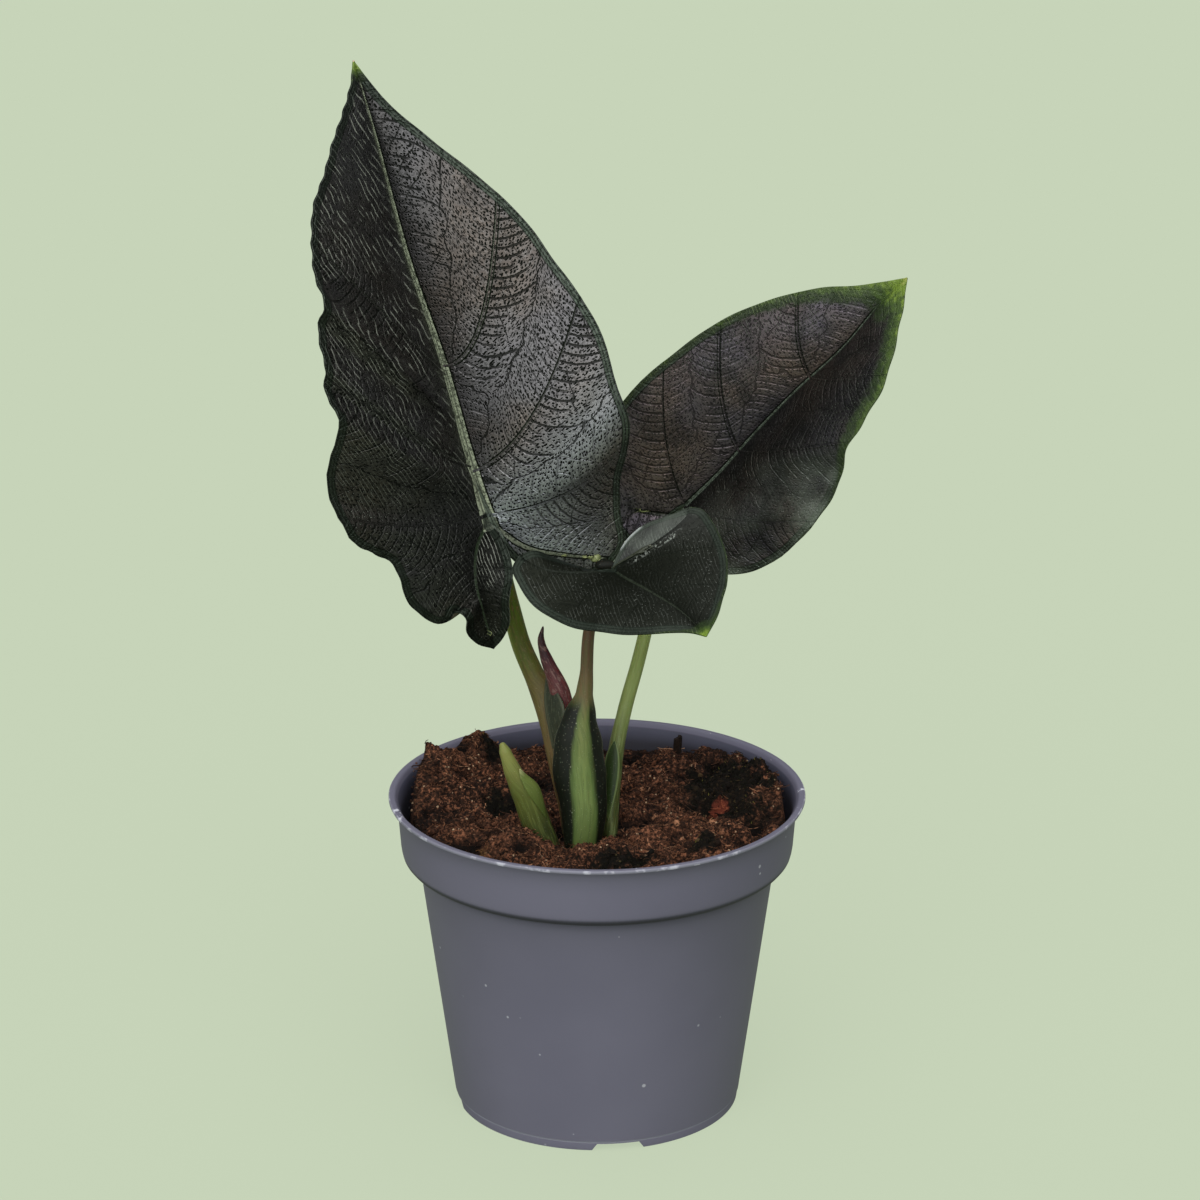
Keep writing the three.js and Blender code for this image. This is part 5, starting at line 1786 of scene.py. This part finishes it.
PEAKS = [
    (-44, 36, 3, 3.5), (-36.5, 37, 3.4, -4.5), (-31, 34, 3, 2.5), (-50.5, 20, 2, 3),
    (35.5, 38, 5, -1.8), (-21, -31, 5, 2.5),
]
MOSS = [
    (38, 11, 18, 35), (7, -42, 14, 7), (-28, 3, 7, 10), (-31, 34, 5, 6), (30, -36, 6, 5),
    (-49, 27, 5, 8),
]
CREVICES = [(178, 24, 2.2), (6, 22, 2.0)]
SKIRT = ((55.1, 80), (52.4, 76.9), (49.9, 75.6), (40.0, 4.3))
rng = np.random.default_rng(7)
print("soil:", len(LUMPS), "lumps,", len(HOLLOWS), "hollows,", len(MOSS), "mossy places")

# %% [markdown]
# The height of the mix at any place is one function, used for the surface and again for every crumb
# that lies on it. It adds up the CAD model's lumps, a few hollows seen in the picture, two scales of
# soft noise, and clods with cracks between them. Near the wall the mix sinks a little, as it does when
# it dries. A sculpt would look as good, but crumbs couldn't be laid on it by a formula.

# %% Soil surface


def value_noise(x, y, seed):
    """Smooth noise from 0 to 1 on a unit lattice."""
    table = np.random.default_rng(seed).random((64, 64))
    xi, yi = np.floor(x).astype(int), np.floor(y).astype(int)
    fx, fy = x - xi, y - yi
    fx, fy = fx * fx * (3 - 2 * fx), fy * fy * (3 - 2 * fy)
    a, b = table[xi % 64, yi % 64], table[(xi + 1) % 64, yi % 64]
    c, d = table[xi % 64, (yi + 1) % 64], table[(xi + 1) % 64, (yi + 1) % 64]
    return (a * (1 - fx) + b * fx) * (1 - fy) + (c * (1 - fx) + d * fx) * fy


def clods(x, y, size, seed):
    """Rounded clods: 1 at the top of each, 0 in the cracks between them."""
    jitter = np.random.default_rng(seed).random((64, 64, 2))
    xi, yi = np.floor(x / size).astype(int), np.floor(y / size).astype(int)
    nearest = np.full(np.shape(x), 9.0)
    for i in (-1, 0, 1):
        for j in (-1, 0, 1):
            shift = jitter[(xi + i) % 64, (yi + j) % 64]
            away = np.hypot(xi + i + shift[..., 0] - x / size, yi + j + shift[..., 1] - y / size)
            nearest = np.minimum(nearest, away)
    return np.sqrt(np.clip(1 - (nearest / 0.75) ** 2, 0, 1))


def mounds(x, y, table):
    """The summed height of round mounds, each given by its place, radius and rise."""
    height = np.zeros(np.shape(x))
    for cx, cy, radius, rise in table:
        height += rise * np.exp(-((x - cx) ** 2 + (y - cy) ** 2) / radius**2)
    return height


def soil_height(x, y):
    """Height of the soil in millimetres at places in millimetres."""
    height = SOIL_LEVEL - 2.6 + mounds(x, y, LUMPS + PEAKS) - mounds(x, y, HOLLOWS)
    for size, rise, seed in ((11, 2.2, 1), (5, 2.0, 2)):
        height += rise * (2 * value_noise(x / size + 7 * seed, y / size + 3 * seed, seed) - 1)
    patchy = value_noise(x / 8 + 31, y / 8 + 11, 6)
    height += 3.2 * clods(x, y, 5.6, 11) * (0.4 + patchy)
    height += 1.1 * clods(x, y, 2.1, 12) + 0.6 * clods(x, y, 1.1, 13)
    edge = np.clip((np.hypot(x, y) / soil_reach(x, y) - 0.92) / 0.08, 0, 1)
    return height - 2.4 * edge**2


def soil_reach(x, y):
    """How far out the soil reaches, less where it has shrunk from the wall."""
    turn = np.degrees(np.arctan2(y, x))
    reach = np.full(np.shape(x), SOIL_RADIUS)
    for middle, spread, gap in CREVICES:
        away = (turn - middle + 180) % 360 - 180
        reach -= gap * np.exp(-((away / spread) ** 2))
    return reach - 0.6 * value_noise(turn / 7 + 40, turn * 0, 5)


def moss_share(x, y):
    """1 where the soil is mossy, 0 where it is bare, ragged between."""
    share = np.zeros(np.shape(x))
    for cx, cy, wide, deep in MOSS:
        share = np.maximum(share, 1.35 - np.hypot((x - cx) / wide, (y - cy) / deep))
    ragged = value_noise(x / 3 + 5, y / 3 + 9, 8) * 0.6 + value_noise(x / 1.1, y / 1.1, 9) * 0.4
    return np.clip((share - ragged) * 3, 0, 1)


def make_soil():
    side = np.linspace(-1, 1, SOIL_STEPS + 1)
    gx, gy = np.meshgrid(side, side)
    x, y = gx * np.sqrt(1 - gy**2 / 2), gy * np.sqrt(1 - gx**2 / 2)
    reach = soil_reach(x, y)
    x, y = x * reach, y * reach
    height = soil_height(x, y)
    place = np.stack([x, y, height], axis=-1) * MM
    # How deep a place lies in a hollow is painted too; the materials use it to paint shade.
    painted = {"moss": moss_share(x, y), "low": lowness(x, y, height)}
    soil = shaped_grid("potting_mix", place, painted)
    rim_count = 4 * SOIL_STEPS
    choose(soil)
    bpy.ops.object.mode_set(mode="EDIT")
    bpy.ops.mesh.select_all(action="DESELECT")
    bpy.ops.mesh.select_mode(type="EDGE")
    bpy.ops.mesh.select_non_manifold()
    for radius, level in SKIRT:
        bpy.ops.mesh.extrude_edges_move(TRANSFORM_OT_translate={"value": (0, 0, -MM)})
        bpy.ops.object.mode_set(mode="OBJECT")
        places = points_of(soil)
        ring = places[-rim_count:]
        ring[:, :2] *= radius * MM / np.linalg.norm(ring[:, :2], axis=1, keepdims=True)
        ring[:, 2] = level * MM
        move_points(soil, places)
        bpy.ops.object.mode_set(mode="EDIT")
    bpy.ops.mesh.edge_face_add()
    bpy.ops.object.mode_set(mode="OBJECT")
    edit(soil, face_outwards)
    bpy.ops.object.shade_smooth()
    return soil


def lowness(x, y, height):
    """1 in the hollows and cracks, 0 on the clods: how far a place lies under the smooth heap."""
    heap = SOIL_LEVEL + mounds(x, y, LUMPS + PEAKS)
    return np.clip((heap - height) / 3.2 + 0.25, 0, 1)


soil = make_soil()
print("soil", triangles_of(soil), "triangles")

# %% [markdown]
# Loose bits lie on the heap: crumbs, smaller grains, bent shreds, a few long fibres and tufts of moss.
# Real instances would be lighter, but a finished piece needs a mesh of its own. So each is modelled
# once with a few dozen faces, and its points are repeated with a size, a turn and a tint drawn from one
# seeded source, in one order.

# %% Crumbs and fibres


def scattered_copies(name, model, places, sizes, turns, tints, **painted):
    """One mesh of many copies of a small model, each with its own size, turn and tint."""
    shape = points_of(model)
    faces = [tuple(face.vertices) for face in model.data.polygons]
    all_points = []
    all_faces = []
    for i, (place, size, turn) in enumerate(zip(places, sizes, turns)):
        all_points.append(shape * size @ turn.T + place)
        all_faces.extend(tuple(v + i * len(shape) for v in face) for face in faces)
    mesh = bpy.data.meshes.new(name)
    mesh.from_pydata(np.vstack(all_points).tolist(), [], all_faces)
    for label, values in {"tint": tints, **painted}.items():
        paint(mesh, label, np.repeat(values, len(shape)))
    piece = bpy.data.objects.new(name, mesh)
    bpy.context.scene.collection.objects.link(piece)
    choose(piece)
    bpy.ops.object.shade_smooth()
    bpy.data.objects.remove(model)
    return piece


def random_turns(count):
    """Rotation matrices spread evenly over all turns."""
    q = rng.normal(size=(count, 4))
    q /= np.linalg.norm(q, axis=1, keepdims=True)
    w, x, y, z = q.T
    rows = [
        [1 - 2 * (y * y + z * z), 2 * (x * y - z * w), 2 * (x * z + y * w)],
        [2 * (x * y + z * w), 1 - 2 * (x * x + z * z), 2 * (y * z - x * w)],
        [2 * (x * z - y * w), 2 * (y * z + x * w), 1 - 2 * (x * x + y * y)],
    ]
    return np.moveaxis(np.array(rows), 2, 0)


def scatter_spots(count, radius):
    """Random places on the soil, in millimetres."""
    r = radius * np.sqrt(rng.random(count))
    a = 2 * np.pi * rng.random(count)
    x, y = r * np.cos(a), r * np.sin(a)
    return np.stack([x, y, soil_height(x, y)], axis=1)


def crumb_model(rounds, seed):
    deselect()
    bpy.ops.mesh.primitive_ico_sphere_add(subdivisions=rounds, radius=MM)
    crumb = bpy.context.object
    places = points_of(crumb)
    rough = np.random.default_rng(seed).uniform(0.6, 1.2, len(places))
    move_points(crumb, places * rough[:, None] * np.array([1.0, 0.8, 0.7]))
    return crumb


def fibre_model(half_width, sides, rings):
    """A bent tapering thread a millimetre long."""
    deselect()
    bpy.ops.mesh.primitive_grid_add(x_subdivisions=sides, y_subdivisions=rings, size=1)
    fibre = bpy.context.object
    start = points_of(fibre)
    t = start[:, 1] + 0.5
    angle = (start[:, 0] + 0.5) * 2 * np.pi
    thick = half_width * (1 - 0.6 * t)
    bend = 0.16 * np.sin(np.pi * t) + 0.05 * np.sin(3 * np.pi * t)
    rise = 0.06 * t * t + thick * np.sin(angle)
    places = np.stack([t - 0.5, bend + thick * np.cos(angle), rise], axis=1)
    move_points(fibre, places * MM)
    edit(fibre, merge_doubles)
    return fibre


def tuft_model():
    """One moss leaflet: a thin pyramid bent over at the tip."""
    deselect()
    bpy.ops.mesh.primitive_cone_add(vertices=4, radius1=0.22 * MM, depth=MM, location=(0, 0, 0.5 * MM))
    tuft = bpy.context.object
    bpy.ops.object.transform_apply(location=True, rotation=True, scale=True)
    edit(tuft, lambda: bpy.ops.mesh.subdivide(number_cuts=1))
    places = points_of(tuft)
    places[:, 0] += 0.35 * (places[:, 2] / MM) ** 2 * MM
    places[:, 1] *= 0.5
    move_points(tuft, places)
    return tuft


def lying_turns(count, steepness):
    """Rotation matrices that keep a long piece near the ground."""
    spin, tilt = 2 * np.pi * rng.random(count), rng.normal(0, steepness, count)
    rows = [
        [np.cos(spin) * np.cos(tilt), -np.sin(spin), np.cos(spin) * np.sin(tilt)],
        [np.sin(spin) * np.cos(tilt), np.cos(spin), np.sin(spin) * np.sin(tilt)],
        [-np.sin(tilt), 0 * spin, np.cos(tilt)],
    ]
    return np.moveaxis(np.array(rows), 2, 0)


def scatter(name, model, count, radius, sizes, sunk, turns):
    spots = scatter_spots(count, radius)
    # How low each copy lies, for its painted shade.
    low = lowness(*spots.T)
    spots[:, 2] -= sunk * sizes
    moss = moss_share(spots[:, 0], spots[:, 1])
    tints = rng.random(count)
    return scattered_copies(name, model, spots * MM, sizes, turns, tints, moss=moss, low=low)


LARGE_CRUMBS, SMALL_CRUMBS, SHREDS, FIBRES, TUFTS = 700, 4200, 4200, 260, 1300
sizes = 0.5 + 1.1 * rng.random(LARGE_CRUMBS) ** 3
turns = random_turns(LARGE_CRUMBS)
crumbs = scatter("coir_crumbs", crumb_model(2, 3), LARGE_CRUMBS, 53.5, sizes, 0.1, turns)
sizes = 0.22 + 0.33 * rng.random(SMALL_CRUMBS)
turns = random_turns(SMALL_CRUMBS)
grains = scatter("coir_grains", crumb_model(1, 4), SMALL_CRUMBS, 53.8, sizes, 0.0, turns)
sizes = 1.4 + 2.2 * rng.random(SHREDS) ** 2
turns = lying_turns(SHREDS, 0.45)
shreds = scatter("coir_shreds", fibre_model(0.07, 3, 5), SHREDS, 53.5, sizes, -0.04, turns)
sizes = 4 + 6 * rng.random(FIBRES) ** 2
turns = lying_turns(FIBRES, 0.2)
fibres = scatter("coir_fibres", fibre_model(0.013, 3, 8), FIBRES, 52, sizes, -0.08, turns)
spots = scatter_spots(TUFTS * 6, 53.5)
spots = spots[moss_share(spots[:, 0], spots[:, 1]) > 0.6][:TUFTS]
sizes = 0.5 + 0.6 * rng.random(len(spots))
turns = lying_turns(len(spots), 0.5)
tints = rng.random(len(spots))
tufts = scattered_copies("moss_tufts", tuft_model(), spots * MM, sizes, turns, tints)
print("crumbs", triangles_of(crumbs), "grains", triangles_of(grains), "shreds", triangles_of(shreds))
print("fibres", triangles_of(fibres), "moss", triangles_of(tufts))

# %% [markdown]
# A bit of bark stands upright at the back of the heap. It is a split stick, so it starts as a
# cylinder, is cut into rings, and its rings are then pushed about and its top is broken off slanting.

# %% Bark stick
STICK = {"place": (23.3, 34), "bottom": 86, "top": 97.4, "radius": 1.15}


def make_stick(name):
    deselect()
    middle, length = (STICK["bottom"] + STICK["top"]) / 2, STICK["top"] - STICK["bottom"]
    bpy.ops.mesh.primitive_cylinder_add(vertices=14, radius=STICK["radius"] * MM, depth=length * MM)
    stick = bpy.context.object
    stick.name = stick.data.name = name
    edit(stick, lambda: bpy.ops.mesh.subdivide(number_cuts=4))
    places = points_of(stick) / MM
    rough = np.random.default_rng(5).uniform(-0.16, 0.16, (len(places), 3))
    high = np.clip(places[:, 2] / length + 0.5, 0, 1)
    places[:, 2] += 0.9 * (places[:, 0] > 0) * (high > 0.98)
    places += rough * np.array([1, 1, 0.5])
    places[:, 0] += 0.6 * high
    places += np.array([*STICK["place"], middle])
    move_points(stick, places * MM)
    bpy.ops.object.shade_smooth_by_angle(angle=math.radians(30))
    return stick


stick = make_stick("bark_stick")
print("stick", triangles_of(stick), "triangles")

# %% [markdown]
# Coir is brown in many shades: light where a crumb stands dry, dull under moss, with a rust-coloured and an
# ochre spot, and darkened nearly to black in the cracks and hollows by painted shade. Crumbs, shreds and
# fibres share one recipe with tones of their own. Each copy's tint is painted on it when it is scattered, so
# thousands of crumbs differ and still are one piece with one material.

# %% Soil materials
RUST = {"place": (35, 1), "reach": (3.4, 1.8)}
OCHRE = {"place": (-33.5, -35.5), "reach": (4.2, 0.6)}
SPOT_TONES = {
    "rust": (92, 44, 32), "loose_rust": (124, 66, 44), "ochre": (78, 54, 32), "loose_ochre": (116, 84, 48),
}
# The darkest tone, for low places, is painted shade in the hollows.
MIX_TONES = {
    "mix": ((40, 25, 17), (68, 44, 31)), "light": (120, 78, 56), "dark": (15, 10, 7), "low": (13, 9, 7),
    "mossy": ((9, 8, 5), (30, 28, 17)),
}
MOSS_TONES = ((8, 9, 5), (22, 26, 13), (112, 106, 46))
LOOSE_HOLLOW_SHADE = (15, 10, 8)
LOOSE_MOSSY = (11, 10, 7)


def patch(place, spot):
    """1 at a spot of the soil, with a ragged edge."""
    far, near = spot["reach"]
    centre = (spot["place"][0] * MM, spot["place"][1] * MM, 0)
    flat = vector_maths("MULTIPLY", place, (1, 1, 0))
    away = vector_maths("DISTANCE", flat, centre, output="Value")
    ragged = times(minus(cloudy(place, 700.0, 2.0), 0.5), far * MM)
    return mask(plus(away, ragged), far * MM, near * MM)


def soil_mix():
    """The heap itself."""
    material, tree, shader = new_material("coir_mix")
    place = object_place(tree)
    fine = cloudy(place, 900.0, 4.0)
    fine.node.inputs["Roughness"].default_value = 0.7
    base = blend_colour(mask(cloudy(place, 60.0, 4.0), 0.35, 0.65), *MIX_TONES["mix"])
    base = blend_colour(mask(fine, 0.52, 0.62), base, MIX_TONES["light"])
    base = blend_colour(mask(fine, 0.5, 0.38), base, MIX_TONES["dark"])
    base = blend_colour(patch(place, OCHRE), base, SPOT_TONES["ochre"])
    # Painted shade in the hollows and cracks.
    base = blend_colour(painted_value(tree, "low"), base, MIX_TONES["low"])
    mossy = blend_colour(mask(fine, 0.52, 0.68), *MIX_TONES["mossy"])
    base = blend_colour(times(painted_value(tree, "moss"), 0.95), base, mossy)
    base = blend_colour(patch(place, RUST), base, SPOT_TONES["rust"])
    feed(shader, Base_Color=base, Roughness=0.95, Specular_IOR_Level=0.12)
    feed(shader, Normal=bumped(fine, 0.4 * MM, 1.0))
    return material


def loose_mix(name, dark, light, brightest, mossy_light, moss_cover=0.97):
    """Crumbs, shreds and fibres: each has its own tint, gets painted shade low down in the hollows, and is
    dull in moss.
    """
    material, tree, shader = new_material(name)
    place = object_place(tree)
    tint = painted_value(tree, "tint")
    fine = cloudy(place, 1800.0, 3.0)
    base = blend_colour(mask(tint, 0.05, 0.95), dark, light)
    base = blend_colour(mask(tint, 0.86, 0.98), base, brightest)
    base = blend_colour(mask(fine, 0.52, 0.36), base, darker(dark))
    base = blend_colour(patch(place, OCHRE), base, SPOT_TONES["loose_ochre"])
    # Painted shade on copies that lie low in the hollows.
    base = blend_colour(times(painted_value(tree, "low"), 0.85), base, LOOSE_HOLLOW_SHADE)
    mossy = blend_colour(mask(tint, 0.84, 1.0), LOOSE_MOSSY, mossy_light)
    base = blend_colour(times(painted_value(tree, "moss"), moss_cover), base, mossy)
    base = blend_colour(patch(place, RUST), base, SPOT_TONES["loose_rust"])
    feed(shader, Base_Color=base, Roughness=0.9, Specular_IOR_Level=0.12)
    feed(shader, Normal=bumped(fine, 0.3 * MM, 1.0))
    return material


def moss_mix():
    material, tree, shader = new_material("moss")
    tint = painted_value(tree, "tint")
    dark, light, straw = MOSS_TONES
    base = blend_colour(mask(tint, 0.0, 0.85), dark, light)
    base = blend_colour(mask(tint, 0.95, 0.99), base, straw)
    base = blend_colour(patch(object_place(tree), RUST), base, SPOT_TONES["loose_rust"])
    feed(shader, Base_Color=base, Roughness=0.7, Specular_IOR_Level=0.1)
    return material


# %% Dressing the soil
LOOSE_TONES = {
    "coir_crumb": ((38, 23, 15), (98, 62, 44), (150, 106, 78), (64, 54, 34)),
    "coir_grain": ((44, 27, 18), (110, 72, 52), (186, 158, 126), (70, 62, 38)),
    "coir_shred": ((42, 26, 17), (112, 74, 52), (164, 118, 88), (60, 50, 30)),
    "coir_fibre": ((74, 48, 34), (132, 94, 68), (176, 136, 104), (58, 50, 32), 0.9),
    "bark": ((34, 25, 19), (46, 34, 26), (60, 46, 36), (40, 32, 22)),
}
for label in ("tint", "low", "moss"):
    paint(stick.data, label, np.zeros(len(stick.data.vertices)))
finishes = {name: loose_mix(name, *tones) for name, tones in LOOSE_TONES.items()}
soil_pieces = (
    (soil, soil_mix()),
    (crumbs, finishes["coir_crumb"]),
    (grains, finishes["coir_grain"]),
    (shreds, finishes["coir_shred"]),
    (fibres, finishes["coir_fibre"]),
    (tufts, moss_mix()),
    (stick, finishes["bark"]),
)
for piece, finish in soil_pieces:
    piece.data.materials.clear()
    piece.data.materials.append(finish)
    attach(piece, "root")
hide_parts("soil")
print("soil pieces:", {piece.name: finish.name for piece, finish in soil_pieces})

# %% [markdown]
# The corm is the short thick stem under the mix that carries the stalks. The CAD model's own mesh is
# enough for it, since nothing but a cut through the pot would show it, so it only gets a finish: brown,
# papery and ringed. The mesh itself isn't touched.

# %% The corm


def corm_skin():
    material, tree, shader = new_material("corm_skin")
    place = object_place(tree)
    rings = cloudy(place, 160.0, 4.0)
    base = blend_colour(rings, (70, 48, 34), (128, 92, 66))
    feed(shader, Base_Color=base, Roughness=0.85, Normal=bumped(rings, 0.4 * MM, 0.8))
    return material


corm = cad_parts["corm"]
corm.data.materials.clear()
corm.data.materials.append(corm_skin())
print("corm finish:", corm.data.materials[0].name)
